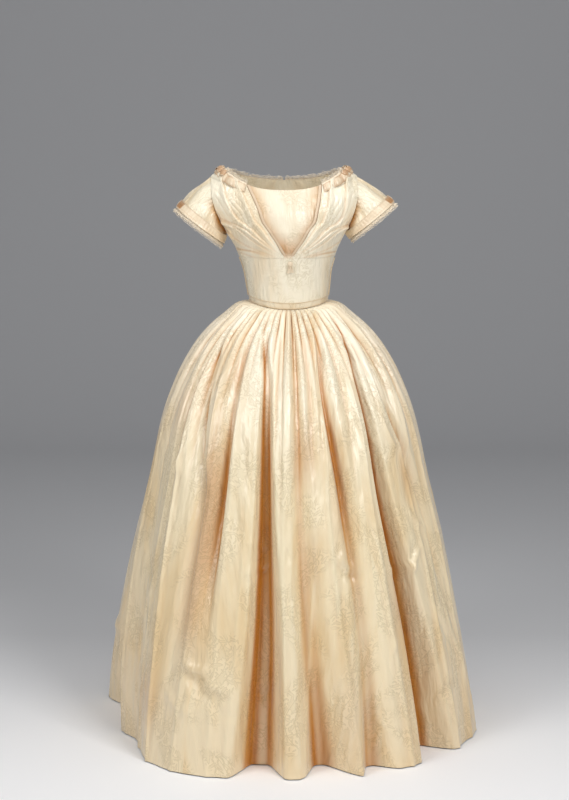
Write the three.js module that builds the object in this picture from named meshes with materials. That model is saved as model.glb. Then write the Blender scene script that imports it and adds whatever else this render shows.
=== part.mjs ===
// A wedding dress of cream silk damask: fitted bodice with a wide neckline, draped and pleated
// fronts that meet in a V, short flared sleeves trimmed with ribbon and lace, and a full gathered
// skirt to the floor. It keeps the hollow form that it has when it is worn.
//
// Millimetres. The origin is the centre of the waist, +Z is up, -Y is the wearer's front and +X is
// the wearer's left. Angles round the body run from the front (0) through the wearer's left (90).
import * as THREE from 'three';

// ---- driving sizes -------------------------------------------------------------------------
const SILK = 1.5; // wall of the damask with its lining
const DRAPE = 1.2; // wall of the pleated fronts
const RIBBON = 1.0;
const LACE = 1.0;
const SEAM_GAP = 0.3; // between pieces sewn edge to edge
const LAID_GAP = 0.95; // between a panel and what lies on it

const BAND_HEIGHT = 13;
const WAIST_COLUMNS = 48;
const WAIST_DIP = 16; // how far the waist seam drops at centre front
const DIP_FADE = 120; // height over which that drop dies out, above and below
const LEAN = 10; // the shoulders stand this far to the wearer's right of the waist
const PIPING_RADIUS = 1.2;

const UNDERARM_Z = 165;
const NECK_HALF_WIDTH = 143;
const NECK_FRONT_Z = 264;
const NECK_BACK_Z = 285;
const NECK_SIDE_Z = 310;
const NECK_CURVE = 2.6; // how late the neckline climbs towards the shoulder
const SHOULDER_TIP = 0.85; // share of the rise from underarm to neckline where the armhole ends

const SLEEVE_HALF_HEIGHT = 67; // hem ring, from its centre to its outer point
const SLEEVE_HALF_DEPTH = 63; // hem ring, from its centre to its front point
const SLEEVE_TILT = 39; // degrees of the hem ring's outer point above level
const SLEEVE_PUFF = 5;
const SLEEVE_RIBBON_WIDTH = 21;
const LACE_DEPTH = 10;
const LACE_SCALLOP = 3;

const NECK_RIBBON_WIDTH = 21;
const NECK_LACE_HEIGHT = 8;
const DRAPE_PLEATS = 4;
const PLEAT_HEIGHT = 3;
const PLEAT_SHAPE = [0, 0.4, 1]; // rise of a pleat over its three columns, a share of its height
const PLEATS_TOP = 0.74; // share of the draped fronts' height above which they lie flat
const DRAPE_LOW = 108 / 165; // level of their lower edge
const DRAPE_END = 0.975; // how close they come to the side seam and armhole
const TRIM_WIDTH = 8;

const GATHERS = 60;
const COLUMNS_PER_GATHER = 3;
const SKIRT_PANELS = 6;

// A table's rows as objects under its column names.
function table(columns, ...rows) {
  const names = columns.split(' ');
  return rows.map((row) => Object.fromEntries(names.map((name, i) => [name, row[i]])));
}

// Half-widths and depths of the skirt's outer shape, from the waist down to the hem.
const SKIRT_PROFILE = table(
  'z side front back',
  [0, 93, 78, 74],
  [-8, 120, 100, 106],
  [-30, 145, 122, 136],
  [-70, 188, 158, 182],
  [-120, 228, 196, 226],
  [-180, 263, 231, 263],
  [-285, 306, 276, 312],
  [-425, 339, 313, 350],
  [-555, 372, 344, 384],
  [-755, 413, 384, 427],
  [-955, 449, 410, 462],
  [-1044, 461, 414, 472],
);
const SKIRT_ROWS = [0, -8, -32, -75, -140, -235, -380, -570, -800, -1044];

// The skirt's largest folds, a row each: where the valley lies (degrees) and how deep it is (mm)
// at these heights, and its half-width (degrees). A negative depth is a ridge that stands out.
// `top` is where the fold starts in the gathers.
const FOLD_HEIGHTS = { top: -20, high: -180, mid: -450, low: -750, hem: -1044 };
const FOLDS = table(
  'top high mid low hem deepHigh deepMid deepLow deepHem wideHigh wideMid wideHem',
  [-20, -11, -9, -9.5, -10.8, 22, 50, 66, 92, 3.5, 4.5, 9.5],
  [3, 3.5, 4.5, 8, 12, 6, 14, 42, 86, 3.5, 4.5, 9.5],
  [9.7, 10.3, 9, 9, 9, 14, 0, 0, 0, 3, 3, 3],
  [22, 18, 23, 26, 27.5, 22, 32, 22, 46, 3.5, 4.5, 7],
  [45, 39.5, 43, 46.5, 50, 30, 54, 80, 100, 3.5, 4.5, 8.5],
  [57, 52, 63, 66, 66, 16, 18, 0, 0, 3.5, 4, 5],
  [74, 74, 74, 74, 74, 0, -4, -6, -6, 8, 8, 9],
  [-28, -27, -28.5, -29, -29, 6, 28, 4, 0, 3.5, 4, 5],
  [-30, -30, -30, -30, -30, 0, 0, -10, -20, 14, 18, 22],
  [-44, -44, -36, -36, -36, 8, 14, 8, 0, 4, 5, 6],
  [-52, -47, -42, -42, -42, 26, 0, 0, 0, 4.5, 4.5, 5],
  [-62, -62, -63, -65, -66, 0, 8, 28, 56, 10, 14, 24],
  [-80, -82, -86, -90, -92, 12, 22, 60, 112, 6, 9, 20],
  [-104, -105, -108, -110, -111, 0, -14, -32, -38, 9, 12, 12],
  [86, 88, 90, 92, 93, 14, 28, 50, 72, 4.5, 6, 10],
  [108, 108, 110, 112, 113, 18, 34, 56, 82, 4.5, 6, 9],
  [126, 128, 131, 132, 133, 12, 26, 44, 64, 4, 5.5, 9],
  [148, 148, 150, 152, 152, 20, 40, 62, 88, 4.5, 6, 10],
  [166, 168, 170, 172, 172, 14, 26, 48, 72, 4, 5.5, 9],
  [188, 190, 191, 191, 192, 20, 38, 60, 88, 4.5, 6, 10],
  [209, 209, 211, 213, 214, 13, 28, 50, 74, 4, 5.5, 10],
  [228, 230, 232, 232, 232, 18, 30, 40, 52, 4, 5, 7],
);

// Height of the gathers' waves, and of the wider waves that pairs of gathers run into.
const GATHER_RELIEF = table(
  'z gather pair',
  [0, 1.4, 0],
  [-8, 2.2, 0.4],
  [-30, 3.4, 1.2],
  [-62, 4.0, 2.6],
  [-105, 3.2, 4.2],
  [-170, 1.8, 4.6],
  [-265, 0.6, 3.0],
  [-390, 0, 1.2],
  [-540, 0, 0],
);

// Sections of the bodice from the waist to the underarm.
const BODICE_SECTIONS = table(
  'z side front back',
  [0, 93, 78, 74],
  [36, 98, 84, 77],
  [72, 103, 94, 83],
  [108, 114, 106, 90],
  [132, 123, 113, 94],
  [UNDERARM_Z, 140, 117, 98],
);
const BODICE_ROWS = [BAND_HEIGHT + SEAM_GAP, 36, 60, 84, 108, 132];
const RISE_ROWS = [0, 0.12, 0.24, 0.36, 0.48, 0.6, 0.72, SHOULDER_TIP, 0.925, 1];

// Edge of a bodice face from the underarm up the armhole to the shoulder tip, and along the
// shoulder seam to the neckline. `front` and `back` are distances from the side seam's plane.
const ARMHOLE = table(
  'rise x z front back',
  [0, 140, UNDERARM_Z, 0, 0],
  [0.12, 147, 178, 13, 14],
  [0.24, 154, 192, 26, 28],
  [0.48, 167, 226, 45, 50],
  [0.6, 171, 245, 47, 54],
  [0.72, 173, 268, 36, 42],
  [SHOULDER_TIP, 174, 292, 0, 0],
  [1, NECK_HALF_WIDTH, NECK_SIDE_Z, 0, 0],
);

// Depth of the bodice on the centre lines above the underarm.
const CENTRE_LINE = table(
  'rise front back',
  [0, 117, 98],
  [0.35, 113, 99],
  [0.7, 101, 91],
  [1, 88, 75],
);

// Distance of the V's edge from centre front, up each side from its point.
const V_EDGE = table(
  'z left right',
  [97, 1, 1],
  [110, 14, 7],
  [124, 24, 15],
  [143, 38, 25],
  [172, 56, 43],
  [192, 71, 56],
  [215, 77, 63],
  [240, 83, 73],
  [274, 88, 88],
);

// Centre of each sleeve's hem ring; the wearer's left arm is held a little higher.
const SLEEVE_HEMS = table('side x y z', [1, 206, -4, 190], [-1, 205, -4, 178]);

// ---- working out curves --------------------------------------------------------------------
const rad = THREE.MathUtils.degToRad;
const lerp = THREE.MathUtils.lerp;

// Reads a column where the key column has the given value, on a smooth curve with no overshoot.
function read(rows, key, value, column) {
  const last = rows.length - 1;
  const sign = Math.sign(rows[last][key] - rows[0][key]);
  if ((value - rows[0][key]) * sign <= 0) return rows[0][column];
  if ((value - rows[last][key]) * sign >= 0) return rows[last][column];
  let k = 0;
  while ((value - rows[k + 1][key]) * sign > 0) k += 1;
  const span = (i) => rows[i + 1][key] - rows[i][key];
  const rate = (i) => (rows[i + 1][column] - rows[i][column]) / span(i);
  const slope = (i) => {
    if (i === 0 || i === last) return rate(Math.min(i, last - 1));
    const [before, after] = [rate(i - 1), rate(i)];
    return before * after > 0 ? (2 * before * after) / (before + after) : 0;
  };
  const t = (value - rows[k][key]) / span(k);
  const near = rows[k][column] * (1 + 2 * t) + slope(k) * span(k) * t;
  const far = rows[k + 1][column] * (3 - 2 * t) - slope(k + 1) * span(k) * (1 - t);
  return near * (1 - t) ** 2 + far * t ** 2;
}

// How far the waist line's drop moves a point at this angle and height.
function dip(angle, z) {
  const fade = Math.max(0, 1 - Math.abs(z) / DIP_FADE);
  return -WAIST_DIP * Math.max(0, Math.cos(rad(angle))) ** 2 * fade ** 1.5;
}

// The torso leans sideways above the waist.
function lean(point) {
  point.x -= LEAN * Math.max(0, point.z / NECK_FRONT_Z);
  return point;
}

// ---- solids --------------------------------------------------------------------------------
const dress = new THREE.Group();

const FINISHES = {
  silk_damask: { color: '#ecd9b8', roughness: 0.42 },
  satin_ribbon: { color: '#dcb98a', roughness: 0.35 },
  lace: { color: '#f1e6cf', roughness: 0.8 },
  piping: { color: '#dfc59c', roughness: 0.5 },
};

function addPiece(name, finish, geometry) {
  const material = new THREE.MeshStandardMaterial({ ...FINISHES[finish], metalness: 0 });
  const piece = new THREE.Mesh(geometry, material);
  piece.name = name;
  dress.add(piece);
}

// A closed geometry from shared vertices and faces, turned so that its faces point out.
function closedGeometry(vertices, faces) {
  const volume = faces.reduce((sum, [a, b, c]) => {
    const cross = new THREE.Vector3().crossVectors(vertices[b], vertices[c]);
    return sum + vertices[a].dot(cross);
  }, 0);
  const geometry = new THREE.BufferGeometry();
  geometry.setFromPoints(vertices);
  geometry.setIndex(faces.flatMap(([a, b, c]) => (volume > 0 ? [a, b, c] : [a, c, b])));
  geometry.computeVertexNormals();
  return geometry;
}

// Unit normals of a grid of points, by rows; a ring's last column is next to its first.
function gridNormals(points, ring, outward = 1) {
  const rows = points.length;
  return points.map((row, i) =>
    row.map((_, j) => {
      const count = row.length;
      const before = ring ? (j + count - 1) % count : Math.max(j - 1, 0);
      const after = ring ? (j + 1) % count : Math.min(j + 1, count - 1);
      const across = row[after].clone().sub(row[before]);
      const up = points[Math.min(i + 1, rows - 1)][j].clone().sub(points[Math.max(i - 1, 0)][j]);
      return across.cross(up).normalize().multiplyScalar(outward);
    }),
  );
}

// Cloth of one thickness on a grid of its middle points, closed along every free edge.
function wall(points, normals, thickness, ring = false) {
  const [rows, columns] = [points.length, points[0].length];
  const vertices = [0.5, -0.5].flatMap((side) =>
    points.flatMap((row, i) =>
      row.map((point, j) => point.clone().addScaledVector(normals[i][j], side * thickness)),
    ),
  );
  const outer = (i, j) => i * columns + (j % columns);
  const inner = (i, j) => rows * columns + outer(i, j);
  const faces = [];
  const quad = (a, b, c, d) => faces.push([a, b, c], [a, c, d]);
  const stretches = ring ? columns : columns - 1;
  for (let i = 0; i < rows - 1; i += 1) {
    for (let j = 0; j < stretches; j += 1) {
      const next = (j + 1) % columns;
      const rising = points[i][j].distanceTo(points[i + 1][next]);
      const falling = points[i][next].distanceTo(points[i + 1][j]);
      const [a, b, c, d] = [[i, j], [i, next], [i + 1, next], [i + 1, j]];
      const turned = rising < falling ? [a, b, c, d] : [b, c, d, a];
      quad(...turned.map(([row, column]) => outer(row, column)));
      const [e, f, g, h] = turned.map(([row, column]) => inner(row, column));
      faces.push([e, g, f], [e, h, g]);
    }
    if (!ring) {
      quad(outer(i, 0), outer(i + 1, 0), inner(i + 1, 0), inner(i, 0));
      const end = columns - 1;
      quad(outer(i, end), inner(i, end), inner(i + 1, end), outer(i + 1, end));
    }
  }
  for (let j = 0; j < stretches; j += 1) {
    const top = rows - 1;
    quad(outer(0, j), inner(0, j), inner(0, j + 1), outer(0, j + 1));
    quad(outer(top, j), outer(top, j + 1), inner(top, j + 1), inner(top, j));
  }
  return closedGeometry(vertices, faces);
}

// Moves a grid's first and last columns towards their neighbours, by half a seam's gap.
function parted(points, atStart = true, atEnd = true) {
  const pull = (row, edge, next) => {
    const step = row[next].clone().sub(row[edge]).setLength(SEAM_GAP / 2);
    return row[edge].clone().add(step);
  };
  return points.map((row) => {
    const end = row.length - 1;
    const copy = [...row];
    if (atStart) copy[0] = pull(row, 0, 1);
    if (atEnd) copy[end] = pull(row, end, end - 1);
    return copy;
  });
}

const steps = (count) => Array.from({ length: count + 1 }, (_, i) => i / count);

// ---- skirt ---------------------------------------------------------------------------------
// Each fold as a table of its own, with a row for each height.
const FOLD_CURVES = FOLDS.map((fold) => [
  { z: FOLD_HEIGHTS.top, at: fold.top, deep: 0, wide: fold.wideHigh },
  { z: FOLD_HEIGHTS.high, at: fold.high, deep: fold.deepHigh, wide: fold.wideHigh },
  { z: FOLD_HEIGHTS.mid, at: fold.mid, deep: fold.deepMid, wide: fold.wideMid },
  { z: FOLD_HEIGHTS.low, at: fold.low, deep: fold.deepLow, wide: lerp(fold.wideMid, fold.wideHem, 0.5) },
  { z: FOLD_HEIGHTS.hem, at: fold.hem, deep: fold.deepHem, wide: fold.wideHem },
]);

// Depth of the large folds at an angle and height.
function foldDepth(angle, z) {
  return FOLD_CURVES.reduce((sum, curve) => {
    const turn = THREE.MathUtils.euclideanModulo(angle - read(curve, 'z', z, 'at') + 180, 360) - 180;
    const share = Math.min(Math.abs(turn) / read(curve, 'z', z, 'wide'), 1);
    return sum + (read(curve, 'z', z, 'deep') * (1 + Math.cos(Math.PI * share))) / 2;
  }, 0);
}

// Waves of the gathers, uneven from one to the next.
function gatherHeight(angle, z) {
  const turn = rad(angle);
  const uneven = 1 + 0.25 * Math.sin(7 * turn + 1) + 0.2 * Math.sin(11 * turn + 2);
  const gather = read(GATHER_RELIEF, 'z', z, 'gather') * Math.cos(GATHERS * turn);
  const drift = 0.9 * Math.sin(3 * turn + 0.5) + 0.6 * Math.sin(5 * turn);
  const pair = read(GATHER_RELIEF, 'z', z, 'pair') * Math.cos((GATHERS / 2) * turn + drift);
  return uneven * (gather + pair);
}

function skirtPoint(angle, z) {
  const turn = rad(angle);
  const depth = Math.cos(turn) > 0 ? 'front' : 'back';
  const at = (height) => [read(SKIRT_PROFILE, 'z', height, 'side'), read(SKIRT_PROFILE, 'z', height, depth)];
  const [side, reach] = at(z);
  const point = new THREE.Vector3(side * Math.sin(turn), -reach * Math.cos(turn), 0);
  const radius = point.length();
  const [sideBelow, reachBelow] = at(z - 4);
  const below = Math.hypot(sideBelow * Math.sin(turn), reachBelow * Math.cos(turn));
  const slope = z < 0 ? Math.atan2(below - radius, 4) : 0;
  const gather = gatherHeight(angle, z);
  const out = radius - foldDepth(angle, z) + gather * Math.cos(slope);
  point.setLength(out);
  point.z = z + dip(angle, z) + gather * Math.sin(slope);
  if (z === 0) point.z -= SILK / 2 + SEAM_GAP;
  return point;
}

function addSkirt() {
  const names = ['front', 'front_left', 'back_left', 'back', 'back_right', 'front_right'];
  const columns = GATHERS * COLUMNS_PER_GATHER;
  const start = -180 / SKIRT_PANELS;
  const points = [...SKIRT_ROWS].reverse().map((z) =>
    steps(columns).slice(0, columns).map((share) => skirtPoint(start + 360 * share, z)),
  );
  const normals = gridNormals(points, true);
  const width = columns / SKIRT_PANELS;
  names.forEach((name, k) => {
    const cut = (grid) => grid.map((row) => [...row, row[0]].slice(k * width, (k + 1) * width + 1));
    addPiece(`skirt_${name}`, 'silk_damask', wall(parted(cut(points)), cut(normals), SILK));
  });
}

// ---- bodice --------------------------------------------------------------------------------
const FRONT = { depth: 'front', sign: -1, neckDepth: 88, neckZ: NECK_FRONT_Z };
const BACK = { depth: 'back', sign: 1, neckDepth: 75, neckZ: NECK_BACK_Z };

// A point of a bodice face. `across` runs from -1 at one side seam to 1 at the other. `level`
// runs from 0 at the waist to 1 at the underarm, and on to 2 at the neckline.
function bodicePoint(face, across, level) {
  const turn = rad(90 * across);
  const [sin, cos] = [Math.sin(turn), Math.cos(turn)];
  if (level <= 1) {
    const z = level * UNDERARM_Z;
    const width = read(BODICE_SECTIONS, 'z', z, 'side');
    const depth = read(BODICE_SECTIONS, 'z', z, face.depth);
    const drop = face === FRONT ? dip(90 * across, z) : 0;
    return lean(new THREE.Vector3(width * sin, face.sign * depth * cos, z + drop));
  }
  const rise = level - 1;
  const [low, high] = [CENTRE_LINE[0][face.depth], face.neckDepth];
  const half = ARMHOLE[0].x;
  const climb = Math.abs(sin) ** NECK_CURVE;
  const x = lerp(half, NECK_HALF_WIDTH, rise) * Math.abs(sin);
  const neckZ = lerp(face.neckZ, NECK_SIDE_Z, climb);
  const atSide = Math.abs(across) ** 2.5;
  const depth = lerp(low, high, rise) * cos;
  const centreExtra = read(CENTRE_LINE, 'rise', rise, face.depth) - lerp(low, high, rise);
  const edge = (column) => read(ARMHOLE, 'rise', rise, column);
  const edgeX = edge('x') - lerp(half, NECK_HALF_WIDTH, rise);
  const edgeZ = edge('z') - lerp(UNDERARM_Z, NECK_SIDE_Z, rise);
  return lean(
    new THREE.Vector3(
      Math.sign(across) * (x + atSide * edgeX),
      face.sign * (depth + (1 - atSide) * centreExtra + atSide * edge(face.depth)),
      lerp(UNDERARM_Z, neckZ, rise) + atSide * edgeZ,
    ),
  );
}

const FRONT_COLUMNS = 20;

// A point on the straight stretch between the two columns of the bodice's own wall, so that what
// is laid on the bodice follows its faces.
function facePoint(face, across, level) {
  const place = ((across + 1) * FRONT_COLUMNS) / 2;
  const [near, far] = [Math.floor(place), Math.ceil(place)].map((k) =>
    bodicePoint(face, (2 * k) / FRONT_COLUMNS - 1, level),
  );
  return near.lerp(far, place - Math.floor(place));
}

// A point above a bodice face, moved out along the face's normal.
function overBodice(face, across, level, out) {
  const small = 0.01;
  const [left, right] = [across - small, across + small].map((value) => THREE.MathUtils.clamp(value, -1, 1));
  const [low, high] = [level - small, level + small].map((value) => THREE.MathUtils.clamp(value, 0, 2));
  const sideways = bodicePoint(face, right, level).sub(bodicePoint(face, left, level));
  const upwards = bodicePoint(face, across, high).sub(bodicePoint(face, across, low));
  const normal = sideways.cross(upwards).normalize().multiplyScalar(-face.sign);
  return facePoint(face, across, level).addScaledVector(normal, out);
}

const BODICE_LEVELS = [...BODICE_ROWS.map((z) => z / UNDERARM_Z), ...RISE_ROWS.map((rise) => 1 + rise)];

// Gives two faces one shared normal along a seam, long enough to keep the wall's thickness.
function joinNormals(first, firstColumn, second, secondColumn) {
  first.forEach((row, i) => {
    const [a, b] = [row[firstColumn], second[i][secondColumn]];
    const mean = a.clone().add(b).normalize();
    mean.divideScalar(Math.max(0.6, mean.dot(a)));
    row[firstColumn] = mean;
    second[i][secondColumn] = mean;
  });
}

function addBodice() {
  const grid = (face, from, to, count) =>
    BODICE_LEVELS.map((level) => steps(count).map((t) => bodicePoint(face, lerp(from, to, t), level)));
  const half = FRONT_COLUMNS / 2;
  const front = grid(FRONT, -1, 1, FRONT_COLUMNS);
  const left = grid(BACK, 1, 0, half);
  const right = grid(BACK, 0, -1, half);
  const [frontNormals, leftNormals, rightNormals] = [front, left, right].map((g) => gridNormals(g, false));
  joinNormals(frontNormals, FRONT_COLUMNS, leftNormals, 0);
  joinNormals(leftNormals, half, rightNormals, 0);
  joinNormals(rightNormals, half, frontNormals, 0);
  addPiece('bodice_front', 'silk_damask', wall(parted(front), frontNormals, SILK));
  addPiece('bodice_back_left', 'silk_damask', wall(parted(left), leftNormals, SILK));
  addPiece('bodice_back_right', 'silk_damask', wall(parted(right), rightNormals, SILK));
}

// ---- waist ---------------------------------------------------------------------------------
function waistPoint(angle, height, out) {
  const turn = rad(angle);
  const depth = Math.cos(turn) > 0 ? 'front' : 'back';
  const side = read(BODICE_SECTIONS, 'z', height, 'side') + out;
  const reach = read(BODICE_SECTIONS, 'z', height, depth) + out;
  const z = height + dip(angle, height);
  return new THREE.Vector3(side * Math.sin(turn), -reach * Math.cos(turn), z);
}

function addWaist() {
  const angles = steps(WAIST_COLUMNS).slice(0, WAIST_COLUMNS).map((share) => 360 * share);
  const band = [0, BAND_HEIGHT].map((z) => angles.map((angle) => waistPoint(angle, z, 0)));
  addPiece('waistband', 'silk_damask', wall(band, gridNormals(band, true), SILK, true));
  const out = SILK / 2 + SEAM_GAP + PIPING_RADIUS;
  const route = angles.map((angle) => waistPoint(angle, PIPING_RADIUS + SEAM_GAP, out));
  const curve = new THREE.CatmullRomCurve3(route, true);
  addPiece('waist_piping', 'piping', new THREE.TubeGeometry(curve, WAIST_COLUMNS, PIPING_RADIUS, 6, true));
}

// ---- trims on the bodice -------------------------------------------------------------------
// The `across` of the V's edge at a level, moved towards centre front by an inset.
function edgeAcross(side, level, inset) {
  const column = side > 0 ? 'left' : 'right';
  let across = 0.4 * side;
  for (let i = 0; i < 12; i += 1) {
    const point = bodicePoint(FRONT, across, level);
    const target = side * (read(V_EDGE, 'z', point.z, column) - inset);
    const slope = (bodicePoint(FRONT, across + 0.01, level).x - point.x) / 0.01;
    across += (target - point.x - LEAN * Math.max(0, point.z / NECK_FRONT_Z)) / slope;
  }
  return across;
}

// The draped front of one side: from the V's edge to the side seam and armhole, with pleats that
// spread on the shoulder and run together at the V's point.
function addDrape(name, side) {
  const columns = DRAPE_PLEATS * 3;
  const levels = [DRAPE_LOW, ...BODICE_LEVELS.filter((level) => level > DRAPE_LOW)];
  const out = SILK / 2 + LAID_GAP + DRAPE / 2;
  const points = levels.map((level) => {
    const height = (level - DRAPE_LOW) / (2 - DRAPE_LOW);
    const relief = PLEAT_HEIGHT * Math.sin(Math.PI * Math.min(1, height / PLEATS_TOP)) ** 0.5;
    return steps(columns).map((share, j) => {
      const spread = share ** lerp(1.5, 1, height ** 0.6);
      const across = lerp(edgeAcross(side, level, 0), side * DRAPE_END, spread);
      const pleat = j === columns ? 0 : PLEAT_SHAPE[j % PLEAT_SHAPE.length] * relief;
      return overBodice(FRONT, across, level, out + pleat);
    });
  });
  addPiece(name, 'silk_damask', wall(points, gridNormals(points, false, side), DRAPE));
}

// The narrow flat band and gimp on the V's edge, on the plain centre.
function addTrim(name, side) {
  const low = 116 / UNDERARM_Z;
  const levels = [low, ...BODICE_LEVELS.filter((level) => level > low)];
  const points = levels.map((level) =>
    [TRIM_WIDTH, 0.5 * TRIM_WIDTH, 1.5].map((inset) => {
      const across = edgeAcross(side, level, inset);
      return overBodice(FRONT, across, level, SILK / 2 + LAID_GAP + RIBBON / 2);
    }),
  );
  addPiece(name, 'piping', wall(points, gridNormals(points, false, side), RIBBON));
}

// Two fine cords side by side along the side seam, below the draped front.
function addSidePiping(name, side) {
  const levels = BODICE_LEVELS.filter((level) => level < DRAPE_LOW - 0.02);
  levels.push(DRAPE_LOW - 0.02);
  const profile = table('across out', [0.93, 0], [0.945, 0.9], [0.96, 0.2], [0.975, 0.9], [0.985, 0]);
  const points = levels.map((level) =>
    profile.map((row) => overBodice(FRONT, side * row.across, level, SILK / 2 + LAID_GAP + LACE / 2 + row.out)),
  );
  addPiece(name, 'piping', wall(points, gridNormals(points, false, side), LACE));
}

// Where the neck trims of one side run: from the V's top along the front neckline to the
// shoulder, and along the back neckline to centre back.
function neckRun(side, frontSteps, backSteps) {
  const start = edgeAcross(side, 2, 0);
  const front = steps(frontSteps).map((t) => ({ face: FRONT, across: lerp(start, side, t) }));
  const back = steps(backSteps).slice(1).map((t) => ({ face: BACK, across: side * lerp(1, 0.01, t) }));
  return [...front, ...back];
}

// The level that lies a given length below the neckline.
function levelBelow(face, across, length) {
  let [level, left] = [2, length];
  let point = bodicePoint(face, across, level);
  while (left > 0) {
    level -= 0.01;
    const next = bodicePoint(face, across, level);
    left -= next.distanceTo(point);
    point = next;
  }
  return level;
}

function addNeckRibbon(name, side) {
  const run = neckRun(side, 10, 14);
  const under = SILK / 2 + LAID_GAP + RIBBON / 2;
  const overDrape = under + DRAPE + LAID_GAP;
  const profile = table('down crown', [NECK_RIBBON_WIDTH, 0], [0.5 * NECK_RIBBON_WIDTH, 1], [1, 0]);
  const points = profile.map(({ down, crown }) =>
    run.map(({ face, across }, i) => {
      const wave = 1.5 + 1.5 * Math.cos(Math.PI * i);
      return overBodice(face, across, levelBelow(face, across, down), overDrape + crown * wave);
    }),
  );
  addPiece(name, 'satin_ribbon', wall(points, gridNormals(points, false, side), RIBBON));
}

function addNeckLace(name, side) {
  const run = neckRun(side, 14, 20);
  const points = [2 * SEAM_GAP, NECK_LACE_HEIGHT].map((height, row) =>
    run.map(({ face, across }, i) => {
      const edge = bodicePoint(face, across, 2);
      const up = edge.clone().sub(bodicePoint(face, across, 1.9)).normalize();
      return edge.addScaledVector(up, height - row * (i % 2) * LACE_SCALLOP);
    }),
  );
  addPiece(name, 'lace', wall(points, gridNormals(points, false, side), LACE));
}

// A small knot with two short ends at the V's point.
function addBow() {
  const outline = new THREE.Shape();
  outline.moveTo(-4, 0);
  outline.bezierCurveTo(-6, 3, -5, 8, 0, 8);
  outline.bezierCurveTo(5, 8, 6, 3, 4, 0);
  outline.lineTo(6, -13);
  outline.lineTo(3.5, -15);
  outline.lineTo(0.6, -3);
  outline.lineTo(-0.6, -3);
  outline.lineTo(-3, -16);
  outline.lineTo(-6, -14);
  const knot = new THREE.ExtrudeGeometry(outline, { depth: 2.4, bevelEnabled: false, curveSegments: 4 });
  const place = overBodice(FRONT, 0.05, 90 / UNDERARM_Z, SILK / 2 + LAID_GAP);
  knot.rotateX(Math.PI / 2 + 0.26);
  knot.translate(place.x, place.y, place.z);
  addPiece('front_bow', 'satin_ribbon', knot);
}

// ---- sleeves -------------------------------------------------------------------------------
// The armhole's edge as a ring: from the shoulder tip down the front to the underarm, and up the
// back. `share` runs from 0 to 1 round it.
const ARM_RISES = RISE_ROWS.filter((rise) => rise <= SHOULDER_TIP);
const ARM_RING = [
  ...[...ARM_RISES].reverse().map((rise) => ({ face: FRONT, rise })),
  ...ARM_RISES.slice(1, -1).map((rise) => ({ face: BACK, rise })),
];

function armholePoint(side, share) {
  const place = share * ARM_RING.length;
  const [near, far] = [Math.floor(place), Math.floor(place) + 1].map((k) => {
    const { face, rise } = ARM_RING[k % ARM_RING.length];
    return bodicePoint(face, side, 1 + rise);
  });
  return near.lerp(far, place - Math.floor(place));
}

// A point of the sleeve: `along` runs from 0 at the armhole to 1 at the hem, and past it.
function sleevePoint(hem, share, along) {
  const turn = 2 * Math.PI * share;
  const low = (1 - Math.cos(turn)) / 2;
  const apart = SEAM_GAP + SILK * lerp(0.6, 1.1, low);
  const root = armholePoint(hem.side, share);
  root.add(new THREE.Vector3(hem.side * 0.95 * apart, 0, -0.31 * apart));
  const tilt = rad(SLEEVE_TILT);
  const up = SLEEVE_HALF_HEIGHT * Math.cos(turn);
  const edge = new THREE.Vector3(
    hem.side * (hem.x + up * Math.cos(tilt)),
    hem.y - SLEEVE_HALF_DEPTH * Math.sin(turn),
    hem.z + up * Math.sin(tilt),
  );
  lean(edge);
  const middle = new THREE.Vector3(hem.side * hem.x, hem.y, hem.z);
  const point = root.lerp(edge, along);
  const puff = SLEEVE_PUFF * Math.sin(Math.PI * Math.min(along, 1)) * (1 - 0.8 * low);
  return point.addScaledVector(point.clone().sub(middle).normalize(), puff);
}

function sleeveGrid(hem, count, shareAlong) {
  const rows = shareAlong.length;
  return steps(rows - 1).map((_, i) =>
    steps(count).slice(0, count).map((share, j) => sleevePoint(hem, share, shareAlong[i](share, j))),
  );
}

function addSleeve(word, hem) {
  const count = ARM_RING.length * 2;
  const length = (share) => sleevePoint(hem, share, 0).distanceTo(sleevePoint(hem, share, 1));
  const past = (size) => (share) => 1 + size / length(share);
  const outward = hem.side;
  const cloth = sleeveGrid(hem, count, [0, 0.25, 0.5, 0.75, 1].map((along) => () => along));
  addPiece(`sleeve_${word}`, 'silk_damask', wall(cloth, gridNormals(cloth, true, outward), SILK, true));

  const ribbonWidth = (share) => Math.min(SLEEVE_RIBBON_WIDTH, 0.8 * length(share));
  const ribbonRows = [1, 0.5, 0].map((part) => (share) => 1 - (part * ribbonWidth(share) + 1) / length(share));
  const flat = sleeveGrid(hem, count, ribbonRows);
  const normals = gridNormals(flat, true, outward);
  const out = SILK / 2 + LAID_GAP + RIBBON / 2;
  const ribbon = flat.map((row, i) => row.map((point, j) => point.clone().addScaledVector(normals[i][j], out)));
  addPiece(`sleeve_ribbon_${word}`, 'satin_ribbon', wall(ribbon, normals, RIBBON, true));

  const scallops = (share, j) => past(LACE_DEPTH - (j % 2) * LACE_SCALLOP)(share);
  const lace = sleeveGrid(hem, count * 2, [past(SEAM_GAP), scallops]);
  addPiece(`sleeve_lace_${word}`, 'lace', wall(lace, gridNormals(lace, true, outward), LACE, true));
}

// ---- the dress -----------------------------------------------------------------------------
addSkirt();
addWaist();
addBodice();
addBow();
for (const [word, side] of [['left', 1], ['right', -1]]) {
  addDrape(`drape_${word}`, side);
  addTrim(`v_trim_${word}`, side);
  addSidePiping(`side_piping_${word}`, side);
  addNeckRibbon(`neck_ribbon_${word}`, side);
  addNeckLace(`neck_lace_${word}`, side);
  addSleeve(word, SLEEVE_HEMS.find((hem) => hem.side === side));
}

export default dress;
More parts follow.
